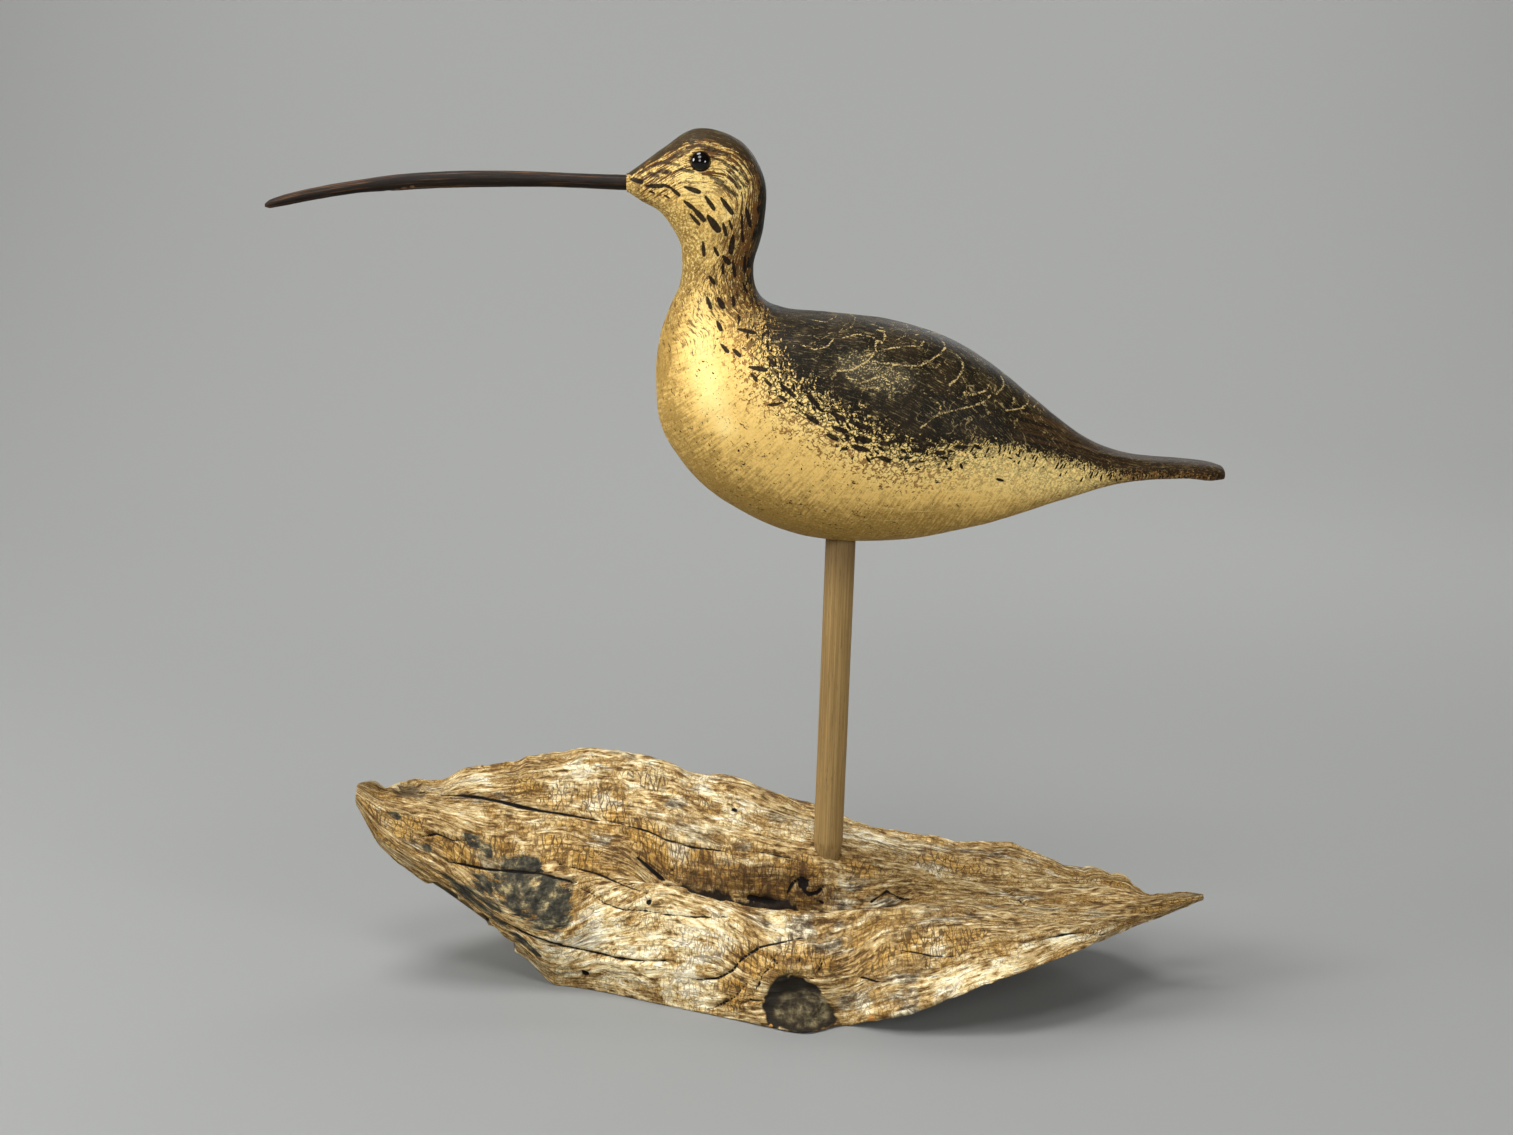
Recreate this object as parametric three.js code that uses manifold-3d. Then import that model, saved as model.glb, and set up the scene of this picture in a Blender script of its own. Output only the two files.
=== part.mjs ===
// A carved and painted curlew decoy: a wooden bird with a long drooping bill and two glass eyes, held up by
// a round wooden dowel that stands in a piece of driftwood.
// Millimetres and degrees, +Z up. The bird faces -X, so its left side faces -Y.
// The origin is on the table, at the point where the dowel's centreline meets it.
import * as THREE from "three";
import { mergeVertices } from "three/addons/utils/BufferGeometryUtils.js";
import Module from "manifold-3d";

const wasm = await Module();
wasm.setup();

// The bird
const BODY_LENGTH = 296; // breast to tail tip
const BODY_WIDTH = 97;
const BELLY_HEIGHT = 243; // table to the dowel's hole in the belly, along the dowel
const BODY_FULLNESS = 2.15; // 2 is an ellipse in cross section, more is squarer

// The bill
const BILL_LENGTH = 185;
const BILL_ROOT = 7.9; // diameter where it leaves the face
const BILL_RISE = 7.8; // how far the root's own direction would lift the tip
const BILL_DROOP = 19.2; // how far the curve pulls it down again
const BILL_SOCKET = 7; // depth of the hole in the face
const FACE_RIM = 0.7; // wood left round the bill

// The glass eyes
const EYE_DIAMETER = 10;
const EYE_THICKNESS = 7.6;
const EYE_PROUD = 2.9; // how far an eye stands out of the head

// The dowel
const DOWEL_DIAMETER = 15.9;
const DOWEL_LEAN = 1.9; // degrees, towards the tail
const DOWEL_IN_BODY = 28; // depth of the hole in the belly
const DOWEL_FOOT_DIAMETER = 11.6; // whittled end that goes into the driftwood
const DOWEL_FOOT_HEIGHT = 24; // table to the bottom of the foot
const DOWEL_TAPER_START = 62; // table to the top of the straight foot
const DOWEL_TAPER = 15; // length of the whittled taper above the foot

// The driftwood
const WOOD_LENGTH = 459;
const WOOD_DEPTH = 166;
const WOOD_HEIGHT = 113;

const FIT = 0.3; // clearance round everything that is let into a hole

// Fineness of the faceted surfaces
const BODY_SIDES = 36;
const BODY_RINGS_PER_STATION = 3;
const BILL_SIDES = 12;
const BILL_RINGS = 18;
const DOWEL_SIDES = 28;
const WOOD_RINGS = 60;
const WOOD_STEPS_PER_SPAN = 3;

// The bird's pattern, from the face over the head, neck and body to the tail. Each station gives the back
// line's x and z, the throat and belly line's x and z, and the width. The lines are in hundredths of the
// body's length, measured from the dowel's hole, and the widths are in hundredths of the body's width.
const BIRD_STATIONS = [
  [-37.3, 64.2, -37.3, 61.3, 10], // face
  [-35.0, 65.8, -34.9, 59.7, 19],
  [-31.0, 68.7, -31.3, 57.5, 32],
  [-25.0, 72.0, -28.4, 52.9, 41], // crown
  [-17.5, 69.7, -27.9, 49.1, 42],
  [-13.5, 63.1, -28.1, 46.7, 40],
  [-13.7, 55.3, -28.5, 44.8, 37],
  [-15.5, 48.4, -29.9, 41.8, 36], // neck
  [-14.4, 43.5, -31.7, 36.8, 45],
  [-10.0, 41.2, -32.6, 28.9, 68], // breast
  [-2.2, 40.4, -31.1, 19.1, 90],
  [7.4, 39.3, -22.8, 8.9, 100],
  [17.1, 36.6, -8.1, 1.5, 97], // belly
  [25.9, 31.7, 7.9, 0.2, 83],
  [34.9, 24.5, 23.9, 2.8, 59],
  [42.9, 18.6, 38.0, 7.1, 40], // rump
  [50.1, 15.7, 49.4, 10.4, 30],
  [59.8, 14.6, 60.0, 11.3, 28], // tail
  [64.8, 14.1, 64.8, 10.8, 26],
  [67.2, 13.3, 67.2, 11.1, 21],
];
const EYE_STATION = 3.25; // between the stations above
const EYE_UP = 0.47; // from 0 at the middle of the section to 1 at the crown
const EYE_TILT = 15; // degrees that an eye looks upwards

// The bill's section: share of its length from the root, then height and width over the root's diameter.
const BILL_STATIONS = [
  [0, 1, 1],
  [0.15, 0.96, 0.92],
  [0.45, 1.1, 0.92],
  [0.63, 1.04, 0.86],
  [0.76, 0.84, 0.76],
  [0.92, 0.76, 0.66],
  [0.985, 0.56, 0.5],
  [1, 0.22, 0.22],
];

// The driftwood's lines, each from the left end to the right. A knot is x, y and z in hundredths of the
// length, depth and height. x starts at the left end, y at the dowel and z at the table.
const WOOD_LINES = [
  // front edge of the sole
  [
    [0, 5, 83],
    [3, 0, 64],
    [11, -6, 42],
    [19, -8, 17],
    [24, -10, 0],
    [38, -28, 0],
    [48, -42, 0],
    [53, -47.6, 0],
    [57.5, -42, 0],
    [60.5, -46, 5.5],
    [63.4, -49.5, 9.8],
    [68.9, -50, 18.2],
    [74.5, -49, 26.1],
    [80.4, -42, 30.8],
    [86.5, -31, 34.5],
    [92.6, -16, 35.3],
    [100, -6, 41],
  ],
  // lip in front of the hollow
  [
    [0, 3, 87],
    [3, -3, 74],
    [11, -9, 57],
    [19, -11, 40],
    [24, -13, 37],
    [29, -12, 46],
    [36.5, -15.5, 54],
    [42, -17.5, 49],
    [48, -19, 45],
    [60, -17, 42],
    [67, -15, 43],
    [83, -13, 37],
    [93, -11, 38],
    [100, -6.5, 42.5],
  ],
  // bottom of the hollow
  [
    [0, 5, 89.5],
    [3, 1, 84],
    [11, -2, 71],
    [19, -4, 58],
    [31, -6, 58],
    [37, -9, 44],
    [48, -11, 32],
    [54, -11, 30],
    [61, -11, 35],
    [67, -7, 41],
    [83, -5, 38],
    [93, -8, 41.5],
    [100, -5.5, 43.5],
  ],
  // top of the wall behind the hollow
  [
    [0, 7, 92],
    [3, 7, 87],
    [11, 9, 81],
    [19, 9, 78],
    [29, 7, 74],
    [38, -3, 65],
    [48, -5.5, 60],
    [60, -5, 56],
    [67, 4, 48],
    [83, 6, 40.5],
    [90, 3, 41.5],
    [94, -5, 42.3],
    [98, -5, 45],
    [100, -5, 43.5],
  ],
  // ridge along the back
  [
    [0, 8.5, 91.5],
    [1.4, 11, 92.5],
    [3, 14, 87.5],
    [5, 16.5, 89.5],
    [9, 20, 88],
    [12.5, 24, 93],
    [18, 26.5, 94],
    [20, 27.3, 97.5],
    [29, 30, 100],
    [33, 30.6, 99.5],
    [36, 31, 96.3],
    [40, 31, 90],
    [44.6, 31, 85.5],
    [48, 31, 79.8],
    [60, 31, 62],
    [67, 30.3, 55.2],
    [74, 29, 51.2],
    [78.2, 27, 52.4],
    [81, 24, 50.7],
    [83, 21.7, 47.8],
    [86, 17, 44],
    [88, 15, 45.7],
    [90, 13, 44.4],
    [91.4, 9.5, 44.6],
    [92.2, 6.5, 42.3],
    [94, -2, 40.5],
    [100, -4.5, 42.5],
  ],
  // back edge of the sole
  [
    [0, 8.5, 84],
    [3, 19, 72],
    [11, 34, 48],
    [19, 43, 20],
    [24, 48, 0],
    [48, 52.4, 0],
    [62, 50, 0],
    [67, 47, 2],
    [74, 42, 9],
    [83, 30, 24],
    [90, 17, 32],
    [94, -2, 35],
    [100, -4.5, 41],
  ],
];
const WOOD_DOWEL_SHARE = 0.553; // where the dowel stands along the driftwood's length
const FRONT_SWELL = 0.12; // how far the front bulges, over its slope's length
const BACK_SWELL = 0.24;

// The stub of a branch on the driftwood's front: a swelling with a sunken heart, in the driftwood's shares
const KNOT_AT = [0.522, -0.44, 0.2];
const KNOT_RADIUS = 26;
const KNOT_SWELL = 5;
const KNOT_HEART_RADIUS = 12;
const KNOT_HEART_DEPTH = 8;

// The rotted pocket between the driftwood's left tip and the rest, in the driftwood's shares
const POCKET_AT = [0.064, 0.105, 0.91];
const POCKET_RADII = [13, 11, 8];

// A smooth curve through every station: each column of the table at a place between two rows.
function stationAt(rows, place) {
  const i = Math.min(Math.floor(place), rows.length - 2);
  const f = place - i;
  return rows[i].map((_, column) => {
    const b = rows[i][column];
    const c = rows[i + 1][column];
    const a = i > 0 ? rows[i - 1][column] : 2 * b - c;
    const d = i + 2 < rows.length ? rows[i + 2][column] : 2 * c - b;
    const bend = 2 * a - 5 * b + 4 * c - d;
    const twist = 3 * b - a - 3 * c + d;
    return 0.5 * (2 * b + (c - a) * f + bend * f ** 2 + twist * f ** 3);
  });
}

// A curve through the knots that never swings past them, so a flat stretch stays flat.
function smoothThrough(knots, column, x) {
  const last = knots.length - 1;
  let i = 0;
  while (i < last - 1 && x > knots[i + 1][0]) i++;
  const run = (k) => knots[k + 1][0] - knots[k][0];
  const slope = (k) => (knots[k + 1][column] - knots[k][column]) / run(k);
  const tangent = (k) => {
    if (k === 0) return slope(0);
    if (k === last) return slope(last - 1);
    const before = slope(k - 1);
    const after = slope(k);
    if (before * after <= 0) return 0;
    const w1 = 2 * run(k) + run(k - 1);
    const w2 = run(k) + 2 * run(k - 1);
    return (w1 + w2) / (w1 / before + w2 / after);
  };
  const h = run(i);
  const t = (x - knots[i][0]) / h;
  return (
    (2 * t ** 3 - 3 * t ** 2 + 1) * knots[i][column] +
    (t ** 3 - 2 * t ** 2 + t) * h * tangent(i) +
    (3 * t ** 2 - 2 * t ** 3) * knots[i + 1][column] +
    (t ** 3 - t ** 2) * h * tangent(i + 1)
  );
}

// A closed body over rings of points, with a flat fan over the first and last ring.
function loft(rings) {
  const sides = rings[0].length;
  const points = rings.flat();
  const faces = [];
  for (let r = 0; r + 1 < rings.length; r++)
    for (let s = 0; s < sides; s++) {
      const a = r * sides + s;
      const b = r * sides + ((s + 1) % sides);
      faces.push(a, b + sides, b, a, a + sides, b + sides);
    }
  const lastRing = (rings.length - 1) * sides;
  for (const [start, turned] of [
    [0, false],
    [lastRing, true],
  ]) {
    const middle = new THREE.Vector3();
    for (let s = 0; s < sides; s++) middle.addScaledVector(points[start + s], 1 / sides);
    const centre = points.push(middle) - 1;
    for (let s = 0; s < sides; s++) {
      const pair = [start + s, start + ((s + 1) % sides)];
      if (turned) pair.reverse();
      faces.push(centre, ...pair);
    }
  }
  return new THREE.BufferGeometry().setFromPoints(points).setIndex(faces);
}

// A geometry as a solid for cutting, and back again.
function toSolid(geometry) {
  const bare = geometry.clone();
  bare.deleteAttribute("normal");
  bare.deleteAttribute("uv");
  const merged = mergeVertices(bare, 1e-4);
  return new wasm.Manifold(
    new wasm.Mesh({
      numProp: 3,
      vertProperties: merged.attributes.position.array,
      triVerts: new Uint32Array(merged.index.array),
    }),
  );
}

function toGeometry(solid) {
  const mesh = solid.getMesh();
  const geometry = new THREE.BufferGeometry();
  geometry.setAttribute("position", new THREE.BufferAttribute(mesh.vertProperties, 3));
  return geometry.setIndex(new THREE.BufferAttribute(mesh.triVerts, 1));
}

// The dowel's own frame: its foot's centreline starts at the origin and leans towards the tail.
const dowelLean = new THREE.Matrix4().makeRotationY(THREE.MathUtils.degToRad(DOWEL_LEAN));
const belly = new THREE.Vector3(0, 0, BELLY_HEIGHT).applyMatrix4(dowelLean);

function birdSection(place) {
  const [backX, backZ, bellyX, bellyZ, width] = stationAt(BIRD_STATIONS, place);
  const scale = BODY_LENGTH / 100;
  const back = new THREE.Vector3(backX, 0, backZ).multiplyScalar(scale).add(belly);
  const front = new THREE.Vector3(bellyX, 0, bellyZ).multiplyScalar(scale).add(belly);
  return {
    centre: back.clone().add(front).multiplyScalar(0.5),
    up: back.sub(front).multiplyScalar(0.5),
    half: (width / 100) * (BODY_WIDTH / 2),
  };
}

// The ring of wood round the bill stays a true circle, sized by the bill.
function faceSection() {
  const face = birdSection(0);
  const radius = BILL_ROOT / 2 + FIT + FACE_RIM;
  return { centre: face.centre, up: face.up.setLength(radius), half: radius };
}

function sectionRing({ centre, up, half }, sides, fullness) {
  const ring = [];
  for (let s = 0; s < sides; s++) {
    const angle = (2 * Math.PI * s) / sides;
    const c = Math.cos(angle);
    const q = Math.sin(angle);
    const along = Math.sign(c) * Math.abs(c) ** (2 / fullness);
    const across = Math.sign(q) * Math.abs(q) ** (2 / fullness);
    ring.push(centre.clone().addScaledVector(up, along).add(new THREE.Vector3(0, half * across, 0)));
  }
  return ring;
}

// Bill: a fine curve that first rises a little and then droops.
const billRoot = birdSection(0).centre;
const billAngle = Math.atan2(BILL_RISE, BILL_LENGTH);

function billCentre(share) {
  const drop = BILL_RISE * share - BILL_DROOP * share ** 3;
  return billRoot.clone().add(new THREE.Vector3(-BILL_LENGTH * share, 0, drop));
}

function billGeometry() {
  const inward = new THREE.Vector3(Math.cos(billAngle), 0, -Math.sin(billAngle));
  const root = { up: new THREE.Vector3(0, 0, BILL_ROOT / 2), half: BILL_ROOT / 2 };
  const rings = [];
  for (let r = BILL_RINGS; r >= 0; r--) {
    const share = 1 - (1 - r / BILL_RINGS) ** 1.3;
    const height = smoothThrough(BILL_STATIONS, 1, share);
    const width = smoothThrough(BILL_STATIONS, 2, share);
    const up = root.up.clone().multiplyScalar(height);
    rings.push(sectionRing({ centre: billCentre(share), up, half: root.half * width }, BILL_SIDES, 2));
  }
  const seated = billRoot.clone().addScaledVector(inward, BILL_SOCKET - FIT);
  rings.push(sectionRing({ centre: seated, ...root }, BILL_SIDES, 2));
  return loft(rings);
}

function billSocket() {
  const radius = BILL_ROOT / 2 + FIT;
  const hole = new THREE.CylinderGeometry(radius, radius, 2 * BILL_SOCKET, 2 * BILL_SIDES);
  hole.rotateZ(Math.PI / 2).rotateY(billAngle);
  return hole.translate(billRoot.x, billRoot.y, billRoot.z);
}

// Eyes: flattened glass buttons, let into the sides of the head.
function eyeCentre(side) {
  const { centre, up, half } = birdSection(EYE_STATION);
  const across = half * (1 - EYE_UP ** BODY_FULLNESS) ** (1 / BODY_FULLNESS);
  const sunk = EYE_THICKNESS / 2 - EYE_PROUD;
  return centre.clone().addScaledVector(up, EYE_UP).add(new THREE.Vector3(0, side * (across - sunk), 0));
}

function eyeGeometry(side, grow, sides) {
  const eye = new THREE.SphereGeometry(1, sides, sides / 2);
  eye.scale(EYE_DIAMETER / 2 + grow, EYE_DIAMETER / 2 + grow, EYE_THICKNESS / 2 + grow);
  const { x, y, z } = eyeCentre(side);
  const turn = Math.PI / 2 + side * THREE.MathUtils.degToRad(EYE_TILT);
  return eye.rotateX(turn).translate(x, y, z);
}

// Dowel: a straight rod whose foot is whittled down. Grown by a clearance, it is also the shape of its holes.
function dowelGeometry(grow) {
  const foot = DOWEL_FOOT_DIAMETER / 2 + grow;
  const full = DOWEL_DIAMETER / 2 + grow;
  const bottom = DOWEL_FOOT_HEIGHT - grow;
  const shoulder = DOWEL_TAPER_START + DOWEL_TAPER - grow;
  const top = BELLY_HEIGHT + DOWEL_IN_BODY + grow;
  const profile = [
    [0, bottom],
    [foot, bottom],
    [foot, DOWEL_TAPER_START - grow],
    [full, shoulder],
    [full, top],
    [0, top],
  ];
  const rod = new THREE.LatheGeometry(
    profile.map(([r, z]) => new THREE.Vector2(r, z)),
    DOWEL_SIDES,
  );
  return rod.rotateX(Math.PI / 2).applyMatrix4(dowelLean);
}

// Body: one carved block, from the face to the tail, with its holes.
function bodyGeometry() {
  const rings = [sectionRing(faceSection(), BODY_SIDES, 2)];
  const spans = (BIRD_STATIONS.length - 1) * BODY_RINGS_PER_STATION;
  for (let r = 1; r <= spans; r++)
    rings.push(sectionRing(birdSection(r / BODY_RINGS_PER_STATION), BODY_SIDES, BODY_FULLNESS));
  const cutters = [billSocket(), eyeGeometry(-1, FIT, 20), eyeGeometry(1, FIT, 20), dowelGeometry(FIT)];
  let body = toSolid(loft(rings));
  for (const cutter of cutters) body = body.subtract(toSolid(cutter));
  return toGeometry(body);
}

// Driftwood: sections across its length, each drawn through the same lines.
function woodPoint([x, y, z]) {
  return new THREE.Vector3((x - WOOD_DOWEL_SHARE) * WOOD_LENGTH, y * WOOD_DEPTH, z * WOOD_HEIGHT);
}

// The point part of the way from a to b, pushed out from the wood by a share of the distance.
function swollen(a, b, share, swell) {
  const run = b.clone().sub(a);
  const out = new THREE.Vector3(0, -run.z, run.y).multiplyScalar(swell);
  return a.clone().addScaledVector(run, share).add(out);
}

function knotShape(point) {
  const from = point.distanceTo(woodPoint(KNOT_AT));
  const swell = KNOT_SWELL * Math.exp(-((from / KNOT_RADIUS) ** 2));
  const heart = KNOT_HEART_DEPTH * Math.exp(-((from / KNOT_HEART_RADIUS) ** 4));
  return point.z > 0 ? point.clone().add(new THREE.Vector3(0, heart - swell, 0)) : point;
}

function woodRing(share) {
  const [soleFront, lip, hollow, wall, ridge, soleBack] = WOOD_LINES.map((line) =>
    woodPoint([
      share,
      smoothThrough(line, 1, 100 * share) / 100,
      smoothThrough(line, 2, 100 * share) / 100,
    ]),
  );
  const front = swollen(soleFront, lip, 0.45, FRONT_SWELL);
  const back = swollen(ridge, soleBack, 0.5, BACK_SWELL);
  const corners = [soleFront, front, lip, hollow, wall, ridge, back, soleBack];
  const outline = new THREE.CatmullRomCurve3(corners, false, "centripetal");
  return outline.getPoints((corners.length - 1) * WOOD_STEPS_PER_SPAN).map(knotShape);
}

function woodGeometry() {
  const rings = [];
  for (let r = 0; r <= WOOD_RINGS; r++) {
    const share = (1 - Math.cos((Math.PI * r) / WOOD_RINGS)) / 2;
    rings.push(woodRing(0.75 * (r / WOOD_RINGS) + 0.25 * share));
  }
  const pocket = new THREE.SphereGeometry(1, 20, 12);
  const middle = woodPoint(POCKET_AT);
  pocket.scale(...POCKET_RADII).translate(middle.x, middle.y, middle.z);
  return toGeometry(toSolid(loft(rings)).subtract(toSolid(pocket)).subtract(toSolid(dowelGeometry(FIT))));
}

function piece(name, geometry, color, roughness) {
  const mesh = new THREE.Mesh(geometry, new THREE.MeshStandardMaterial({ color, roughness, metalness: 0 }));
  mesh.name = name;
  return mesh;
}

const decoy = new THREE.Group();
decoy.name = "shorebird_decoy";
decoy.add(
  piece("carved_body", bodyGeometry(), 0xb08a45, 0.6),
  piece("bill", billGeometry(), 0x2e1c14, 0.5),
  piece("left_eye", eyeGeometry(-1, 0, 20), 0x050404, 0.05),
  piece("right_eye", eyeGeometry(1, 0, 20), 0x050404, 0.05),
  piece("dowel", dowelGeometry(0), 0x8f6a42, 0.7),
  piece("driftwood_base", woodGeometry(), 0xa28a63, 0.9),
);

export default decoy;
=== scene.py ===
# A carved and painted curlew decoy on a wooden dowel, standing in a piece of driftwood.
# Metres, +Z up. The bird faces -X and its left side faces -Y, towards the camera.
import math

import bpy
import numpy as np
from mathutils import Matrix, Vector


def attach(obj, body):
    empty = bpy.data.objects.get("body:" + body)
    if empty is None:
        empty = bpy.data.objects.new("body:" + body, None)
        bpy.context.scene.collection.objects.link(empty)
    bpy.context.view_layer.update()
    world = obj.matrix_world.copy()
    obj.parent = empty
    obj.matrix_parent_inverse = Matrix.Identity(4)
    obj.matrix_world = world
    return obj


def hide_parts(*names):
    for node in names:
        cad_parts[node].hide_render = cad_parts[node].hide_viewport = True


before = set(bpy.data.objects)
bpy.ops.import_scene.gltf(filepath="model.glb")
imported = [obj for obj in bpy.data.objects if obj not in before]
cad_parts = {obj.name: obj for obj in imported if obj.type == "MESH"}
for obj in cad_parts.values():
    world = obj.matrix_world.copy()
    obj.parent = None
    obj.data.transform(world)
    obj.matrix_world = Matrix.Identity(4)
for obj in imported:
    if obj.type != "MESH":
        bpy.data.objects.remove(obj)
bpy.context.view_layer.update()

# Studio: a sheet of grey paper that lies under the piece and sweeps up behind it. A very wide soft
# light overhead and a little in front of the piece, with weaker ones at the left, right and back.
PHOTO_SIZE = (1513, 1135)  # pixels
CAMERA_PLACE = (-0.0363, -1.1738, 0.4775)
CAMERA_TILT = 12  # degrees below level
CAMERA_LENS = 54.06  # millimetres
CAMERA_FRAME = 36  # millimetres
PAPER_GREY = (119, 120, 118)
PAPER_REACH = 30
PAPER_BEND_START = 1.3
PAPER_BEND_RADIUS = 1.2
PAPER_TOP = 6
PAPER_GAP = 0.0003  # between the paper and the sole of the wood
SURROUND_GREY = (170, 171, 170)
SURROUND_LIGHT = 0.05
OVERHEAD_FROM = (-0.22, 0.04, 0.97)
OVERHEAD_STRENGTH = 2.5
OVERHEAD_SPREAD = 26  # degrees
SOFT_LIGHTS = {  # place, size, watts and aim
    "left_light": ((-1.4, -0.3, 0.85), 0.6, 22, (-0.03, 0, 0.26)),
    "right_light": ((1.05, -1.15, 0.6), 0.45, 10, (-0.03, 0, 0.2)),
    "front_light": ((-0.35, -2.3, 1.15), 0.8, 18, (-0.03, 0, 0.26)),
    "high_light": ((-0.25, -0.85, 1.45), 0.6, 10.5, (-0.03, -0.25, 0)),
    "back_light": ((0.5, 1.25, 0.9), 0.7, 3, (-0.03, 0, 0.26)),
    "left_paper_light": ((-0.8, 1.6, 1.7), 1.2, 25, (-0.8, 2.5, 0.45)),
    "right_paper_light": ((0.8, 1.6, 1.7), 1.2, 25, (0.8, 2.5, 0.45)),
}

PHOTO_FOCUS = CAMERA_LENS / CAMERA_FRAME * PHOTO_SIZE[0]  # pixels


def paint(red, green, blue):
    """A colour as a painter's 0 to 255 numbers, turned into light."""
    shares = np.array([red, green, blue]) / 255
    light = np.where(shares > 0.04045, ((shares + 0.055) / 1.055) ** 2.4, shares / 12.92)
    return (*light.tolist(), 1.0)


class Value:
    """One output of a node. Sums, products and so on of such values are math nodes."""

    def __init__(self, socket):
        self.socket = socket

    def __add__(self, other):
        return calc("ADD", self, other)

    def __sub__(self, other):
        return calc("SUBTRACT", self, other)

    def __mul__(self, other):
        return calc("MULTIPLY", self, other)

    def __truediv__(self, other):
        return calc("DIVIDE", self, other)

    __radd__ = __add__
    __rmul__ = __mul__

    def beside(self, output):
        """Another output of the same node."""
        return Value(self.socket.node.outputs[output])


def feed(node, inputs):
    """Gives a node its inputs, each a number, a colour or a value of another node."""
    for name, value in inputs.items():
        if isinstance(value, Value):
            tree.links.new(value.socket, node.inputs[name])
        else:
            node.inputs[name].default_value = value


def put(kind, inputs=None, output=0, **settings):
    """Adds one node to the tree in hand and gives one of its outputs."""
    node = tree.nodes.new("ShaderNode" + kind)
    for name, value in settings.items():
        setattr(node, name, value)
    feed(node, inputs or {})
    return Value(node.outputs[output])


def calc(operation, *values):
    """One sum of a math node."""
    return put("Math", dict(enumerate(values)), operation=operation)


def new_material(name):
    """Starts a material: its nodes and its shader are the ones in hand from here on."""
    global tree, shader
    material = bpy.data.materials.new(name)
    material.use_nodes = True
    tree = material.node_tree
    shader = tree.nodes["Principled BSDF"]
    return material


def in_scene(name, data, place=(0, 0, 0)):
    """Puts a camera, a lamp or a mesh in the scene."""
    thing = bpy.data.objects.new(name, data)
    thing.location = place
    bpy.context.scene.collection.objects.link(thing)
    return thing


camera = in_scene("photo_camera", bpy.data.cameras.new("photo_camera"), CAMERA_PLACE)
camera.data.lens = CAMERA_LENS
camera.data.sensor_width = CAMERA_FRAME
camera.data.clip_end = 100
camera.rotation_euler = (math.radians(90 - CAMERA_TILT), 0, 0)
bpy.context.scene.camera = camera

overhead = in_scene("overhead_light", bpy.data.lights.new("overhead_light", "SUN"))
overhead.data.energy = OVERHEAD_STRENGTH
overhead.data.angle = math.radians(OVERHEAD_SPREAD)
overhead.rotation_euler = Vector(OVERHEAD_FROM).to_track_quat("Z", "Y").to_euler()
for light_name, (place, size, watts, aim) in SOFT_LIGHTS.items():
    light = in_scene(light_name, bpy.data.lights.new(light_name, "AREA"), place)
    light.data.shape = "DISK"
    light.data.size = size
    light.data.energy = watts
    light.rotation_euler = (Vector(aim) - Vector(place)).to_track_quat("-Z", "Y").to_euler()

# The surroundings look as bright as the paper, and light the piece only a little.
world = bpy.data.worlds.new("studio_surround")
world.use_nodes = True
tree = world.node_tree
seen = put("LightPath", output="Is Camera Ray")
background = tree.nodes["Background"]
feed(background, {"Color": paint(*SURROUND_GREY), "Strength": calc("MAXIMUM", seen, SURROUND_LIGHT)})
bpy.context.scene.world = world
bpy.context.scene.view_settings.view_transform = "Standard"  # colours as on the paint card

bend = [math.radians(5 * step) for step in range(19)]
paper_line = [(-PAPER_REACH, 0)] + [
    (PAPER_BEND_START + PAPER_BEND_RADIUS * math.sin(turn), PAPER_BEND_RADIUS * (1 - math.cos(turn)))
    for turn in bend
]
paper_line += [(PAPER_BEND_START + PAPER_BEND_RADIUS, PAPER_TOP)]
paper_mesh = bpy.data.meshes.new("paper_sweep")
paper_points = [(x, y, z - PAPER_GAP) for y, z in paper_line for x in (-PAPER_REACH, PAPER_REACH)]
paper_faces = [(k, k + 1, k + 3, k + 2) for k in range(0, len(paper_points) - 2, 2)]
paper_mesh.from_pydata(paper_points, [], paper_faces)
paper_mesh.polygons.foreach_set("use_smooth", [True] * len(paper_faces))
paper = in_scene("paper_sweep", paper_mesh)
paper_mesh.materials.append(new_material("grey_paper"))
feed(shader, {"Base Color": paint(*PAPER_GREY), "Roughness": 0.9})

# Driftwood: one long piece of weathered root or trunk wood. It lies on a flat underside, both ends
# overhang, and a hollow runs along its front. Bleached streaks, brown wood full of cross checks,
# long cracks along the grain, the sunken heart of a branch stub and a rotted pocket by the left tip.
# Painted light brightens parts of the lower front, and painted shade darkens the long cracks, the holes,
# the pocket and the hollow behind the lip.
WOOD_LENGTH = 0.459
WOOD_DEPTH = 0.166
WOOD_HEIGHT = 0.113
WOOD_DOWEL_SHARE = 0.553  # where the dowel stands along the length
FRONT_SWELL = 0.12
BACK_SWELL = 0.24
WOOD_RINGS = 352
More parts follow.
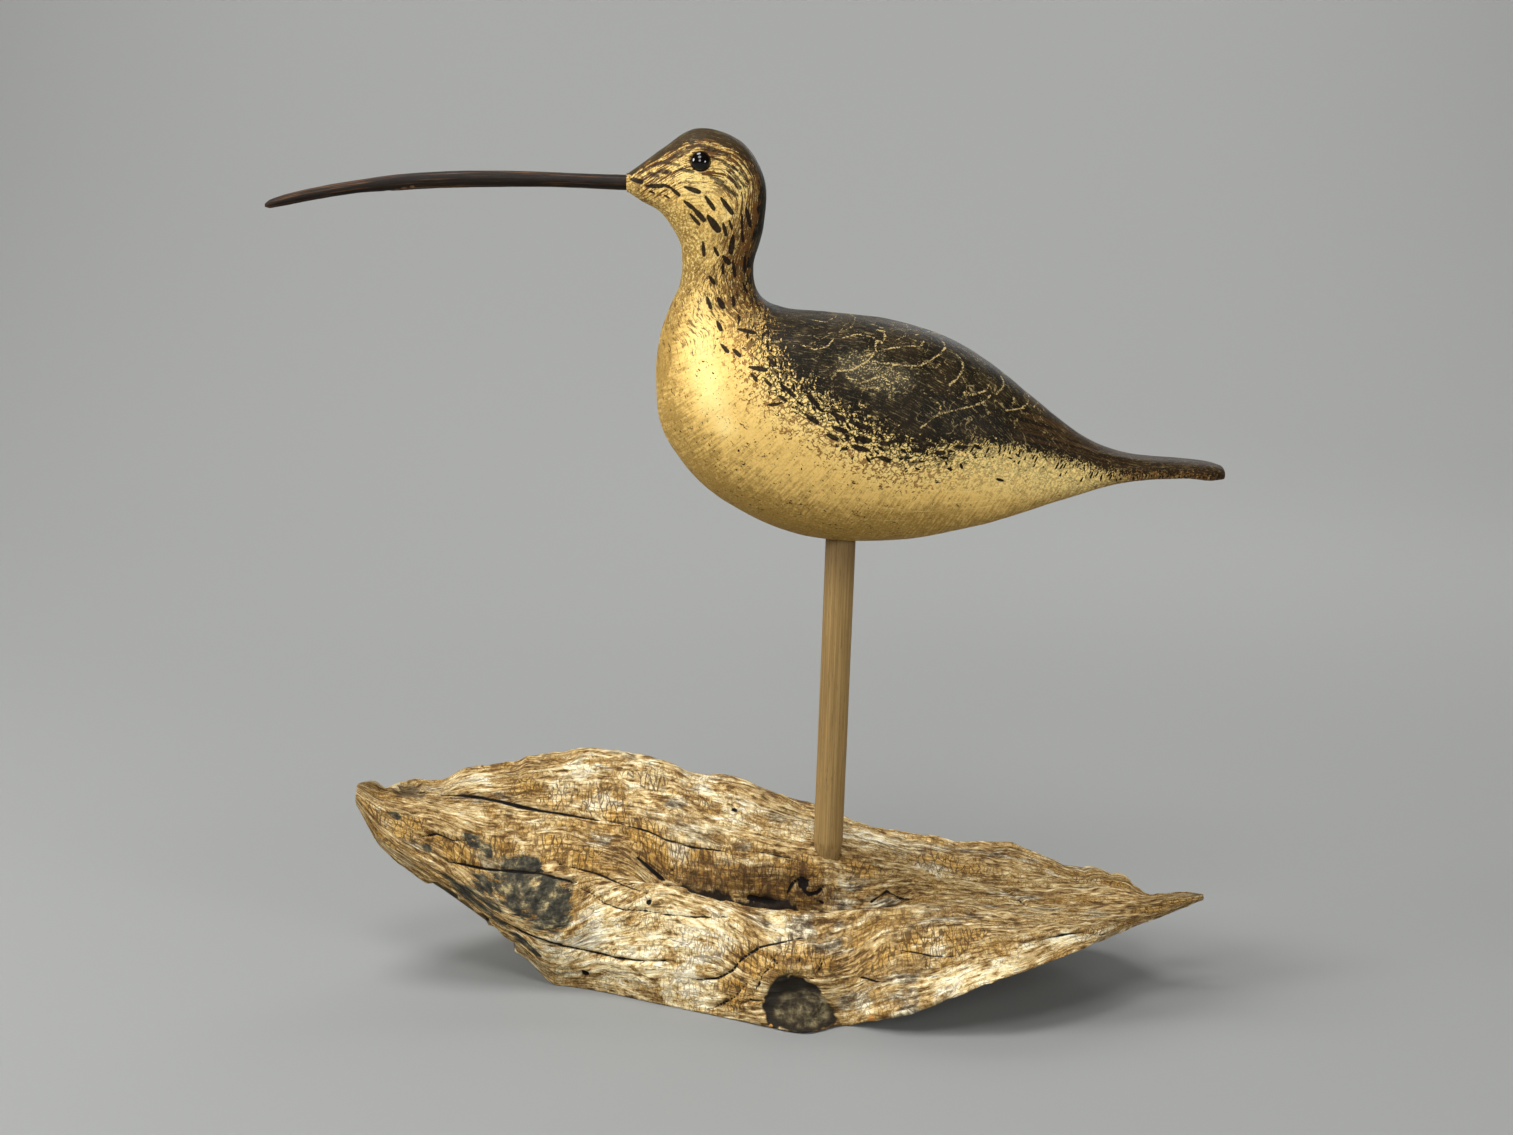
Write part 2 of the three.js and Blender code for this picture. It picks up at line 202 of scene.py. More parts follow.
# Each line of the wood runs from the left end to the right. A knot is x, y and z in hundredths of the
# length, depth and height. x starts at the left end, y at the dowel and z at the table.
WOOD_LINES = [
    [  # front edge of the sole
        [0, 5, 83], [3, 0, 64], [11, -6, 42], [19, -8, 17], [24, -10, 0], [38, -28, 0], [48, -42, 0],
        [53, -47.6, 0], [57.5, -42, 0], [60.5, -46, 5.5], [63.4, -49.5, 9.8], [68.9, -50, 18.2],
        [74.5, -49, 26.1], [80.4, -42, 30.8], [86.5, -31, 34.5], [92.6, -16, 35.3], [100, -6, 41],
    ],
    [  # lip in front of the hollow
        [0, 3, 87], [3, -3, 74], [11, -9, 57], [19, -11, 40], [24, -13, 37], [29, -12, 46],
        [36.5, -15.5, 54], [42, -17.5, 49], [48, -19, 45], [60, -17, 42], [67, -15, 43],
        [83, -13, 37], [93, -11, 38], [100, -6.5, 42.5],
    ],
    [  # bottom of the hollow
        [0, 5, 89.5], [3, 1, 84], [11, -2, 71], [19, -4, 58], [31, -6, 58], [37, -9, 44],
        [48, -11, 32], [54, -11, 30], [61, -11, 35], [67, -7, 41], [83, -5, 38], [93, -8, 41.5],
        [100, -5.5, 43.5],
    ],
    [  # top of the wall behind the hollow
        [0, 7, 92], [3, 7, 87], [11, 9, 81], [19, 9, 78], [29, 7, 74], [38, -3, 65], [48, -5.5, 60],
        [60, -5, 56], [67, 4, 48], [83, 6, 40.5], [90, 3, 41.5], [94, -5, 42.3], [98, -5, 45],
        [100, -5, 43.5],
    ],
    [  # ridge along the back
        [0, 8.5, 91.5], [1.4, 11, 92.5], [3, 14, 87.5], [5, 16.5, 89.5], [9, 20, 88], [12.5, 24, 93],
        [18, 26.5, 94], [20, 27.3, 97.5], [29, 30, 100], [33, 30.6, 99.5], [36, 31, 96.3],
        [40, 31, 90], [44.6, 31, 85.5], [48, 31, 79.8], [60, 31, 62], [67, 30.3, 55.2],
        [74, 29, 51.2], [78.2, 27, 52.4], [81, 24, 50.7], [83, 21.7, 47.8], [86, 17, 44],
        [88, 15, 45.7], [90, 13, 44.4], [91.4, 9.5, 44.6], [92.2, 6.5, 42.3], [94, -2, 40.5],
        [100, -4.5, 42.5],
    ],
    [  # back edge of the sole
        [0, 8.5, 84], [3, 19, 72], [11, 34, 48], [19, 43, 20], [24, 48, 0], [48, 52.4, 0],
        [62, 50, 0], [67, 47, 2], [74, 42, 9], [83, 30, 24], [90, 17, 32], [94, -2, 35],
        [100, -4.5, 41],
    ],
]
# The lines above and the two swells, counted 0 to 7 from the front edge of the sole to the back edge.
FINE_STEPS = [42, 42, 32, 36, 56, 26, 24]  # steps across each span between them
RIDGE = 5
SOLE_BACK = 7
SOLE_STEPS = 12
KNOT_AT = (0.522, -0.44, 0.2)  # branch stub, in the wood's shares
KNOT_ACROSS = 0.66  # where the stub is on the count from 0 to 7
KNOT_RADIUS = 0.026
KNOT_SWELL = 0.005
KNOT_HEART_RADIUS = 0.012
KNOT_HEART_DEPTH = 0.008
POCKET_AT = (0.064, 0.105, 0.91)
POCKET_RADII = (0.013, 0.011, 0.008)
RELIEF_HEIGHT = 0.0015
BUMP_HEIGHT = 0.0013
FINE_BUMP_HEIGHT = 0.0007
CRACK_DEPTH = 0.0019
CHAR_DEPTH = 0.0006
BURNT_DEPTH = 0.0055
STUB_DEPTH = 0.002
STUB_RIM = 0.0016
TROUGH_DEPTH = 0.003
# Marks read off the photograph, in its pixels. A crack has its widest half width in mm, then points.
CRACKS = [
    (1.1, [(440, 793), (481, 796), (504, 802), (528, 806), (551, 812), (575, 815), (600, 819)]),
    (0.5, [(600, 816), (622, 823), (645, 829), (666, 838), (692, 846), (721, 848), (745, 850)]),
    (0.5, [(419, 836), (437, 833), (454, 839), (469, 838)]),
    (0.8, [(448, 861), (466, 864), (487, 868), (513, 869), (540, 873), (557, 877), (575, 882)]),
    (0.5, [(566, 880), (592, 893), (604, 904), (622, 909), (642, 911), (668, 914), (695, 917), (730, 916)]),
    (0.6, [(560, 864), (580, 868), (598, 873), (613, 879), (630, 887), (645, 893)]),
    (0.6, [(504, 923), (522, 933), (542, 940), (563, 947), (589, 953), (613, 959), (636, 962), (663, 962)]),
    (0.7, [(695, 981), (718, 978), (730, 970), (742, 958), (759, 946), (777, 942), (798, 937), (815, 940)]),
    (1.2, [(636, 856), (648, 867), (660, 879), (668, 882), (671, 870)]),
    (1.6, [(664, 880), (692, 889), (721, 896), (751, 900), (774, 903), (800, 908), (822, 909)]),
    (0.5, [(715, 1008), (733, 997), (745, 984)]),
    (0.6, [(751, 999), (760, 984), (766, 972), (775, 966)]),
    (0.7, [(856, 908), (873, 902), (889, 891), (901, 897), (917, 897)]),
    (0.5, [(895, 949), (912, 950), (929, 954), (946, 953), (962, 951)]),
    (0.5, [(840, 974), (861, 977), (878, 981), (903, 982)]),
    (0.6, [(1020, 941), (1038, 937), (1061, 932), (1083, 929), (1103, 931), (1122, 930)]),
    (0.7, [(1004, 887), (1018, 897), (1030, 905)]),
    (1.3, [(481, 767), (504, 765), (519, 764)]),
    (0.9, [(788, 894), (793, 884), (800, 878), (808, 879)]),
    (1.1, [(800, 888), (809, 894), (818, 892), (824, 887)]),
    (0.8, [(816, 899), (823, 904), (820, 909)]),
    (0.5, [(735, 845), (762, 851), (790, 856), (812, 862)]),
    (0.6, [(768, 952), (777, 962), (784, 973)]),
    (0.5, [(796, 948), (799, 960), (803, 972)]),
    (0.5, [(826, 958), (820, 969), (813, 978)]),
    (0.5, [(742, 1003), (752, 1000), (763, 1001)]),
]
# Areas as x, y and radius: blackened, holes filled with painted shade, brown and checked, grey,
# bleached and partly brightened by painted light, freshly chipped, burnt away, and deepest
# brown with painted shade on the wall of the hollow
BLACKENED = [
    (520, 888, 22), (545, 904, 24), (506, 882, 15), (560, 912, 16), (482, 886, 11), (470, 892, 12),
    (492, 905, 11), (464, 894, 13), (480, 906, 13), (500, 922, 11), (518, 938, 9), (534, 951, 7),
    (450, 880, 8), (474, 839, 7), (487, 849, 6), (428, 848, 5), (394, 814, 6),
]
HOLES = [(734, 809, 3), (648, 903, 3), (583, 975, 4), (804, 883, 6)]
BROWN = [
    (790, 957, 14), (803, 962, 12), (820, 966, 12), (812, 893, 18), (650, 776, 14), (700, 800, 12),
    (400, 830, 14), (415, 822, 12), (660, 858, 20), (690, 870, 24), (720, 878, 24), (750, 882, 24),
    (780, 888, 22), (800, 870, 18), (455, 850, 18), (500, 846, 14), (470, 862, 12), (552, 850, 16),
    (588, 856, 14), (560, 795, 20), (600, 800, 22), (528, 786, 16), (640, 832, 18), (612, 815, 14),
    (730, 986, 14), (745, 962, 18), (772, 958, 16), (735, 1002, 12), (935, 862, 26), (962, 866, 16),
    (920, 945, 24), (955, 938, 20), (1086, 881, 18), (1112, 884, 14), (1090, 932, 16),
    (1130, 922, 14), (885, 955, 14), (860, 870, 16), (1180, 902, 16), (1155, 908, 16), (372, 812, 18),
    (385, 840, 12),
]
GREY = [
    (960, 914, 22), (985, 905, 14), (470, 799, 14), (500, 797, 12), (410, 842, 12), (940, 850, 12),
    (965, 850, 12), (1000, 855, 12), (1040, 864, 14), (1075, 870, 12), (855, 880, 16), (850, 905, 14),
    (830, 945, 16), (880, 905, 14), (745, 846, 9), (600, 840, 14), (590, 850, 10), (675, 805, 12),
    (1020, 895, 16), (905, 975, 14), (860, 1000, 14), (1050, 908, 12), (900, 1000, 16),
    (760, 922, 14), (800, 925, 14), (925, 925, 14), (700, 788, 12),
]
BLEACHED_AND_LIT = [
    (598, 962, 26), (625, 950, 20), (1075, 936, 16), (1110, 928, 12), (376, 806, 8), (606, 962, 20),
    (588, 955, 18), (600, 915, 36), (640, 935, 40), (560, 960, 30), (690, 935, 34), (620, 975, 30),
    (680, 985, 30), (720, 930, 24), (650, 775, 26), (700, 790, 24), (740, 815, 20), (1060, 940, 20),
    (1095, 934, 16), (1000, 968, 18), (935, 945, 16), (560, 790, 18), (600, 802, 16), (930, 868, 18),
    (1090, 880, 14), (800, 830, 16), (870, 835, 18), (580, 770, 20), (480, 780, 14), (620, 960, 30),
    (780, 925, 20), (860, 1005, 12), (1020, 960, 24), (960, 980, 24), (680, 850, 12),
]
FRESH_CHIPS = [(772, 1027, 3), (872, 1019, 3)]
BURNT_AWAY = [(436, 891, 9), (448, 901, 14), (463, 911, 14), (479, 921, 12), (494, 932, 10), (508, 943, 8)]
DEEP_BROWN_AND_SHADE = [
    (805, 892, 20), (820, 900, 16), (792, 884, 14), (690, 884, 12), (715, 884, 16), (745, 884, 18),
    (772, 884, 16), (800, 880, 14), (830, 893, 14), (362, 806, 9), (372, 822, 9), (412, 868, 10),
    (455, 880, 12), (790, 1022, 14), (835, 878, 10), (660, 872, 8),
]
# the edge of the stub's dark end, then the middle and the two radii of the greyer face inside it
KNOT_EDGE = [
    (766, 992), (772, 980), (785, 976), (803, 979), (820, 992), (832, 1006), (838, 1020), (825, 1029),
    (795, 1031), (772, 1026), (764, 1008),
]
KNOT_FACE = (804, 1009, 31, 19)
# Small broken places along the skyline: a pixel's x, and how many pixels the wood drops there
SKYLINE = [
    (352, 0), (362, -2), (373, 0), (402, 0), (414, -2), (430, 0), (460, -2), (486, -1), (523, -2),
    (526, -3), (536, -1), (590, -2), (650, 2), (676, 2), (688, 4), (712, 2), (740, -1), (800, 1),
    (820, 0), (990, -2), (1040, 1), (1076, 0), (1084, 2), (1088, 0), (1102, -2), (1112, 1),
    (1117, -2), (1128, -3), (1131, 1), (1140, -2), (1146, -1), (1150, 3), (1172, 0), (1200, 0),
]


def length(vectors):
    """Length of each vector."""
    return np.linalg.norm(vectors, axis=-1)


def hump(values, width, power=2):
    """1 where the value is 0, and falling off on both sides over about the width."""
    return np.exp(-(np.abs(values / width) ** power))


def running_sum(steps):
    """How far each step has come, from 0."""
    return np.concatenate([[0], np.cumsum(steps)])


def smooth_through(knots, x):
    """A curve through the knots that never swings past them: every column after the first, at x."""
    knots = np.asarray(knots, float)
    at, to = knots[:, 0], knots[:, 1:]
    run = np.diff(at)[:, None]
    slope = np.diff(to, axis=0) / run
    before, after = slope[:-1], slope[1:]
    w1, w2 = 2 * run[1:] + run[:-1], run[1:] + 2 * run[:-1]
    with np.errstate(divide="ignore", invalid="ignore"):
        inner = (w1 + w2) / (w1 / before + w2 / after)
    tangent = np.vstack([slope[:1], np.where(before * after > 0, inner, 0), slope[-1:]])
    i = np.clip(np.searchsorted(at, x) - 1, 0, len(at) - 2)
    h = run[i]
    t = ((x - at[i]) / run[i, 0])[:, None]
    start = (2 * t**3 - 3 * t**2 + 1) * to[i] + (t**3 - 2 * t**2 + t) * h * tangent[i]
    return start + (3 * t**2 - 2 * t**3) * to[i + 1] + (t**3 - t**2) * h * tangent[i + 1]


def rounded_through(corners, place):
    """A curve through the corners of each section, at places counted in corners."""
    first = 2 * corners[:, :1] - corners[:, 1:2]
    last = 2 * corners[:, -1:] - corners[:, -2:-1]
    corners = np.concatenate([first, corners, last], axis=1)
    i = np.clip(np.floor(place).astype(int), 0, corners.shape[1] - 4)
    w = (place - i)[None, :, None]
    a, b, c, d = (corners[:, i + k] for k in range(4))
    ab, bc, cd = (
        np.maximum(((p - q) ** 2).sum(-1, keepdims=True), 1e-16) ** 0.25
        for p, q in ((a, b), (b, c), (c, d))
    )
    t1 = ((b - a) / ab - (c - a) / (ab + bc) + (c - b) / bc) * bc
    t2 = ((c - b) / bc - (d - b) / (bc + cd) + (d - c) / cd) * bc
    return b + t1 * w + (3 * (c - b) - 2 * t1 - t2) * w**2 + (2 * (b - c) + t1 + t2) * w**3


def lumps(points, seed):
    """Smooth seeded noise from -1 to 1, with lumps about one unit across."""
    cell = np.floor(points).astype(np.int64)
    f = points - cell
    f = f * f * f * (f * (f * 6 - 15) + 10)
    total = np.zeros(points.shape[:-1])
    for corner in np.ndindex(2, 2, 2):
        x, y, z = (cell[..., k] + corner[k] for k in range(3))
        mixed = (x * 73856093) ^ (y * 19349663) ^ (z * 83492791) ^ (seed * 961748927)
        mixed = (mixed ^ (mixed >> 13)) * 1274126177 & 0xFFFFFFFF
        height = ((mixed ^ (mixed >> 16)) & 0xFFFF) / 32767.5 - 1
        weight = np.prod([f[..., k] if corner[k] else 1 - f[..., k] for k in range(3)], axis=0)
        total += weight * height
    return total


def flat_noise(u, v, seed):
    """The same noise over a surface."""
    return lumps(np.stack([u, v, np.full_like(u, 0.37)], axis=-1), seed)


def outward(points):
    """Normals of a grid of points whose rows are closed rings along +X."""
    along = np.gradient(points, axis=0)
    around = np.roll(points, -1, axis=1) - np.roll(points, 1, axis=1)
    normal = np.cross(along, around)
    return normal / np.maximum(np.linalg.norm(normal, axis=-1, keepdims=True), 1e-12)


def loft_object(name, rings, masks=None):
    """A closed skin over a grid of rings, smooth shaded, with named values on its points."""
    count, sides = rings.shape[:2]
    ends = np.array([rings[0].mean(axis=0), rings[-1].mean(axis=0)])
    points = np.concatenate([rings.reshape(-1, 3), ends])
    index = np.arange(count * sides).reshape(count, sides)
    turned = np.roll(index, -1, axis=1)
    quads = np.stack([index[:-1], index[1:], turned[1:], turned[:-1]], axis=-1).reshape(-1, 4)
    left = np.stack([np.full(sides, len(points) - 2), index[0], turned[0]], axis=-1)
    right = np.stack([np.full(sides, len(points) - 1), turned[-1], index[-1]], axis=-1)
    mesh = bpy.data.meshes.new(name)
    mesh.from_pydata(points.tolist(), [], quads.tolist() + left.tolist() + right.tolist())
    for mask, values in (masks or {}).items():
        kind, field = ("FLOAT_VECTOR", "vector") if values.ndim == 3 else ("FLOAT", "value")
        full = np.concatenate([values.ravel(), values[0, 0].ravel(), values[-1, 0].ravel()])
        mesh.attributes.new(mask, kind, "POINT").data.foreach_set(field, full)
    mesh.polygons.foreach_set("use_smooth", np.ones(len(mesh.polygons), bool))
    mesh.update()
    piece = in_scene(name, mesh)
    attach(piece, "root")
    return piece


def wood_place(share, depth, height):
    """Metres, from shares of the wood's length, depth and height."""
    along = (share - WOOD_DOWEL_SHARE) * WOOD_LENGTH
    return np.stack([along, depth * WOOD_DEPTH, height * WOOD_HEIGHT], axis=-1)


def swollen(a, b, share, swell):
    """A line between two lines, pushed outwards by a share of the distance between them."""
    run = b - a
    out = np.stack([0 * run[:, 0], -run[:, 2], run[:, 1]], axis=-1) * swell
    return a + run * share + out


# the rings stand closer together at both ends
ring_at = np.linspace(0, 1, WOOD_RINGS + 1)
wood_shares = 0.75 * ring_at + 0.125 * (1 - np.cos(np.pi * ring_at))
sole_front, lip, hollow, wall, ridge, sole_back = (
    wood_place(wood_shares, *smooth_through(line, 100 * wood_shares).T / 100) for line in WOOD_LINES
)
front_bulge = swollen(sole_front, lip, 0.45, FRONT_SWELL)
back_bulge = swollen(ridge, sole_back, 0.5, BACK_SWELL)
wood_corners = np.stack([sole_front, front_bulge, lip, hollow, wall, ridge, back_bulge, sole_back], axis=1)
across = np.concatenate([k + np.arange(n) / n for k, n in enumerate(FINE_STEPS)] + [[SOLE_BACK]])
skin = rounded_through(wood_corners, across)
sole_share = (np.arange(1, SOLE_STEPS) / SOLE_STEPS)[None, :, None]
sole = skin[:, -1:] + (skin[:, :1] - skin[:, -1:]) * sole_share
wood = np.concatenate([skin, sole], axis=1)
wood_across = np.concatenate([across, SOLE_BACK + np.arange(1, SOLE_STEPS) / SOLE_STEPS])

# The grain follows the lines: g is the distance along the wood and h across it, in mm.
mean_across = running_sum(length(np.diff(skin, axis=1)).mean(axis=0)) * 1000
under_sole = mean_across[-1] + np.linspace(0, 90, SOLE_STEPS + 1)[1:-1]
mean_across = np.concatenate([mean_across, under_sole])
g, h = np.meshgrid(wood_shares * WOOD_LENGTH * 1000, mean_across, indexing="ij")


def grain_noise(long, wide, seed):
    """Noise over the wood, by the length and width of its lumps in mm."""
    return flat_noise(g / long, h / wide, seed)


# the grain parts round the stub, and wavers everywhere
knot = wood_place(*KNOT_AT)
from_knot = length(wood - knot)
knot_h = np.interp(KNOT_ACROSS, across, mean_across[: len(across)])
h = h + 9 * np.tanh((h - knot_h) / 9) * hump(from_knot, 0.034)
h = h + 3.5 * grain_noise(60, 30, 3) + 1.2 * grain_noise(22, 12, 4)

off_table = wood[..., 2] > 0.0001

# the wood swells round the stub and its heart is sunk
swell = KNOT_SWELL * hump(from_knot, KNOT_RADIUS)
heart = KNOT_HEART_DEPTH * hump(from_knot, KNOT_HEART_RADIUS, 4)
wood[..., 1] += np.where(off_table, heart - swell, 0)

# the rotted pocket
pocket = (wood - wood_place(*POCKET_AT)) / np.array(POCKET_RADII)
pocket_depth = POCKET_RADII[2] * np.sqrt(np.clip(1 - (pocket[..., :2] ** 2).sum(-1), 0, 1))
pocket_floor = wood_place(*POCKET_AT)[2] - pocket_depth
pocket_reach = (pocket**2).sum(-1) + 0.5 * grain_noise(4, 3, 27)
wood[..., 2] = np.where(pocket_reach < 1, np.minimum(wood[..., 2], pocket_floor), wood[..., 2])


def between(values, start, end, soft):
    """1 from start to end, with soft ends."""
    rise = np.clip((values - start) / soft + 0.5, 0, 1)
    fall = np.clip((end - values) / soft + 0.5, 0, 1)
    return rise * rise * (3 - 2 * rise) * fall * fall * (3 - 2 * fall)


def photo_view(skin, normals):
    """Where each point of a skin falls in the photograph, its depth, and whether it faces the camera."""
    away = skin - np.array(CAMERA_PLACE)
    tilt = math.radians(CAMERA_TILT)
    depth = away[..., 1] * math.cos(tilt) - away[..., 2] * math.sin(tilt)
    rise = away[..., 1] * math.sin(tilt) + away[..., 2] * math.cos(tilt)
    pixels = PHOTO_FOCUS / depth
    over = PHOTO_SIZE[0] / 2 + away[..., 0] * pixels
    down = PHOTO_SIZE[1] / 2 - rise * pixels
    return over, down, depth, (normals * away).sum(axis=-1) < 0


def seen_at(view, x, y):
    """Index of the point of the skin that the photograph shows at a pixel."""
    over, down, depth, faces = view
    off = np.where(faces, np.hypot(over - x, down - y), 1e9)
    near = off < max(4, off.min() + 0.5)
    near &= depth < depth[near].min() + 0.008
    return np.unravel_index(np.where(near, off, 1e9).argmin(), off.shape)


def line_distance(skin, line):
    """Distance in mm from each point to a line through points, and how far along it from 0 to 1."""
    lengths = length(np.diff(line, axis=0))
    best, along = np.full(skin.shape[:-1], 1e9), np.zeros(skin.shape[:-1])
    for k, (start, end) in enumerate(zip(line[:-1], line[1:])):
        way = (end - start) / lengths[k]
        t = np.clip((skin - start) @ way, 0, lengths[k])
        d = length(skin - start - t[..., None] * way) * 1000
        along = np.where(d < best, (lengths[:k].sum() + t) / lengths.sum(), along)
        best = np.minimum(best, d)
    return best, along


def patches(view, areas, ragged=0.3, stretch=1.25, soft=0.67):
    """1 inside round areas of the photograph, stretched along the grain, with ragged soft edges."""
    edge = ragged * (grain_noise(9, 3.5, 11) + 0.6 * grain_noise(4, 1.8, 12))
    mask = np.zeros(g.shape)
    for x, y, radius in areas:
        at = seen_at(view, x, y)
        size = radius * 1000 * view[2][at] / PHOTO_FOCUS
        gap = np.hypot((g - g[at]) / (stretch * size), (h - h[at]) / (size * 1.25 / stretch))
        mask = np.maximum(mask, np.clip((1.16 - gap) / soft + edge, 0, 1))
    return mask


# the skyline, broken in small steps
wood_view = photo_view(wood, outward(wood))
ridge_row = int(np.searchsorted(wood_across, RIDGE))
sunk = np.interp(wood_view[0][:, ridge_row], *np.array(SKYLINE, float).T)
sunk = sunk / PHOTO_FOCUS * wood_view[2][:, ridge_row]
skyline_width = 0.5 + 1.0 * np.clip(1 - wood_shares / 0.09, 0, 1)
skyline_band = hump(wood_across[None, :] - RIDGE, skyline_width[:, None], 4)
wood[..., 2] -= sunk[:, None] * skyline_band * off_table

# how far each point of the wood is from the long cracks and holes, in mm
wood_normal = outward(wood)
wood_view = photo_view(wood, wood_normal)
wander = 0.2 * grain_noise(5, 4, 8) + 0.15 * grain_noise(2.2, 2, 9)
crack = np.full(g.shape, 6.0)
for widest, pixels in CRACKS:
    distance, along = line_distance(wood, np.array([wood[seen_at(wood_view, *pixel)] for pixel in pixels]))
    half_width = 0.95 * widest * (0.2 + 0.8 * np.sin(np.pi * np.clip(along, 0, 1)) ** 0.6)
    crack = np.minimum(crack, distance + wander - half_width)
for x, y, radius in HOLES:
    middle = wood[seen_at(wood_view, x, y)]
    crack = np.minimum(crack, length(wood - middle) * 1000 + 2 * wander - 0.5 * radius)

# the coloured areas
char = patches(wood_view, BLACKENED, 0.5)
brown = patches(wood_view, BROWN, 0.5, 1.6, 0.9)
grey = patches(wood_view, GREY, 0.5, 1.8, 0.9)
bleached_and_lit = patches(wood_view, BLEACHED_AND_LIT, 0.4, 1.4, 1.0)
fresh = patches(wood_view, FRESH_CHIPS, 0.2)
deep = patches(wood_view, DEEP_BROWN_AND_SHADE, 0.4)
# the notch burnt out of the lower edge at the left
burnt_away = np.zeros(g.shape)
for x, y, radius in BURNT_AWAY:
    middle_at = seen_at(wood_view, x, y)
    burnt_size = radius * wood_view[2][middle_at] / PHOTO_FOCUS
    reach = length(wood - wood[middle_at]) / burnt_size + 0.25 * grain_noise(4, 4, 28)
    burnt_away = np.maximum(burnt_away, np.clip((1.2 - reach) / 0.8, 0, 1))
char = np.maximum(char, 0.9 * burnt_away)
# the back, which the photograph hides, is mixed of the same brown and grey
hidden = ~wood_view[3]
hidden_mix = grain_noise(45, 14, 14)
brown = np.where(hidden, np.maximum(brown, np.clip(2.5 * hidden_mix - 0.3, 0, 1)), brown)
grey = np.where(hidden, np.maximum(grey, np.clip(-2.5 * hidden_mix - 0.5, 0, 1)), grey)

# the stub's dark end, as shares of the way from its middle to its edge, and its greyer face
knot_edge = np.array(KNOT_EDGE, float)
knot_middle = knot_edge.mean(axis=0)
edge_turn = np.arctan2(*(knot_edge - knot_middle).T[::-1])
edge_reach = length(knot_edge - knot_middle)
from_middle = wood_view[0] - knot_middle[0], wood_view[1] - knot_middle[1]
turn_there = np.arctan2(*from_middle[::-1])
stub = np.hypot(*from_middle) / np.interp(turn_there, edge_turn, edge_reach, period=2 * np.pi)
stub = stub + 0.1 * grain_noise(5, 5, 15) + 0.08 * grain_noise(2, 2, 24)
stub = np.where(wood_view[3] & (wood[..., 1] < -0.03), stub, 9)
face_x, face_y, face_wide, face_high = KNOT_FACE
stub_face = np.hypot((wood_view[0] - face_x) / face_wide, (wood_view[1] - face_y) / face_high)
stub_face = stub_face + 0.2 * grain_noise(4, 4, 23)

# the relief of the fibres, and all that lifts or sinks the surface
coarse = 2.4 * np.abs(grain_noise(60, 7, 1)) ** 0.8 - 0.9
medium = 2.2 * np.abs(grain_noise(20, 3.4, 2)) ** 0.8 - 0.8
fine = grain_noise(4.5, 1.8, 5) + 0.6 * grain_noise(2.6, 2.2, 18)
relief = 0.4 * coarse + 0.3 * medium + 0.3 * fine
ends = np.clip(np.minimum(wood_shares, 1 - wood_shares) / 0.02, 0, 1)[:, None]
near_sole = np.clip(wood[..., 2] / 0.006, 0, 1)
on_sole = (wood_across >= SOLE_BACK)[None, :] | ~off_table
ridge_band = hump(wood_across - RIDGE, 0.5)[None, :] * (0.0003 + 0.0007 * (wood_shares[:, None] > 0.7))
lift = RELIEF_HEIGHT * relief * (1 - 0.5 * brown)
lift = lift + BUMP_HEIGHT * lumps(wood / 0.035, 6) + FINE_BUMP_HEIGHT * lumps(wood / 0.011, 19)
lift = lift + ridge_band * grain_noise(9, 40, 16)
lift = lift - CRACK_DEPTH * np.clip(1 - crack / 1.2, 0, 1.5) - CHAR_DEPTH * char - BURNT_DEPTH * burnt_away
lift = lift - STUB_DEPTH * np.clip((1.1 - stub) / 0.35, 0, 1) + STUB_RIM * hump(stub - 1.25, 0.2)
# behind the lip, where the hollow is deep, with a band of painted shade in it
trough_along = between(wood_shares, 0.37, 0.552, 0.06)[:, None]
trough_line = 3.24 + 0.06 * flat_noise(g / 5, 0 * g, 20) + 0.05 * flat_noise(g / 1.6, 0 * g, 25)
trough_width = 0.24 + 0.08 * flat_noise(g / 9, 0 * g, 26)
trough_shade = hump(wood_across[None, :] - trough_line, trough_width, 4) * trough_along
lift = lift - TROUGH_DEPTH * hump(wood_across - 2.95, 0.3)[None, :] * trough_along
lift = np.where(on_sole, 0, lift * near_sole * ends)
wood = wood + wood_normal * lift[..., None]
wood[..., 2] = np.maximum(wood[..., 2], 0)

driftwood = loft_object(
    "driftwood",
    wood,
    {
        "grain": np.stack([g, h, 0 * g], axis=-1),
        "relief": relief,
        "crack": crack,
        "char": char,
        "brown": brown,
        "grey": grey,
        "bleached_and_lit": bleached_and_lit,
        "fresh": fresh,
        "deep": deep,
        "stub": np.minimum(stub, 3),
        "stub_face": np.minimum(stub_face, 3),
        "trough": trough_shade,
        "pocket": np.clip((1.1 - pocket_reach) / 0.5, 0, 1),
    },
)
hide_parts("driftwood_base")

# the colours of the wood, from the gaps between the fibres to the most bleached fibre
CREAM_WOOD = [
    (0, (84, 60, 28)), (0.22, (146, 113, 62)), (0.45, (200, 172, 116)), (0.7, (236, 218, 170)),
    (1, (255, 250, 226)),
]
OCHRE_WOOD = [
    (0, (64, 42, 12)), (0.3, (128, 92, 36)), (0.55, (176, 134, 62)), (0.8, (214, 178, 106)),
    (1, (240, 214, 152)),
]
GREY_WOOD = [
    (0, (50, 43, 32)), (0.3, (98, 88, 70)), (0.55, (142, 129, 104)), (0.8, (200, 187, 154)),
    (1, (244, 235, 206)),
]
CHAR_SHADES = [(0, (28, 26, 22)), (0.4, (60, 57, 46)), (0.68, (96, 88, 66)), (1, (190, 170, 120))]
STUB_SHADES = [(0, (28, 23, 15)), (0.45, (66, 56, 38)), (0.75, (98, 88, 62)), (1, (136, 124, 92))]
CHIP_TAN = paint(168, 134, 84)
DARK_WOOD = paint(66, 42, 20)
FRESH_WOOD = paint(186, 132, 66)
POCKET_SHADE_BROWN = paint(66, 50, 34)
TROUGH_SHADE_BLACK = paint(24, 16, 10)
CRACK_SHADE_BLACK = paint(20, 13, 8)


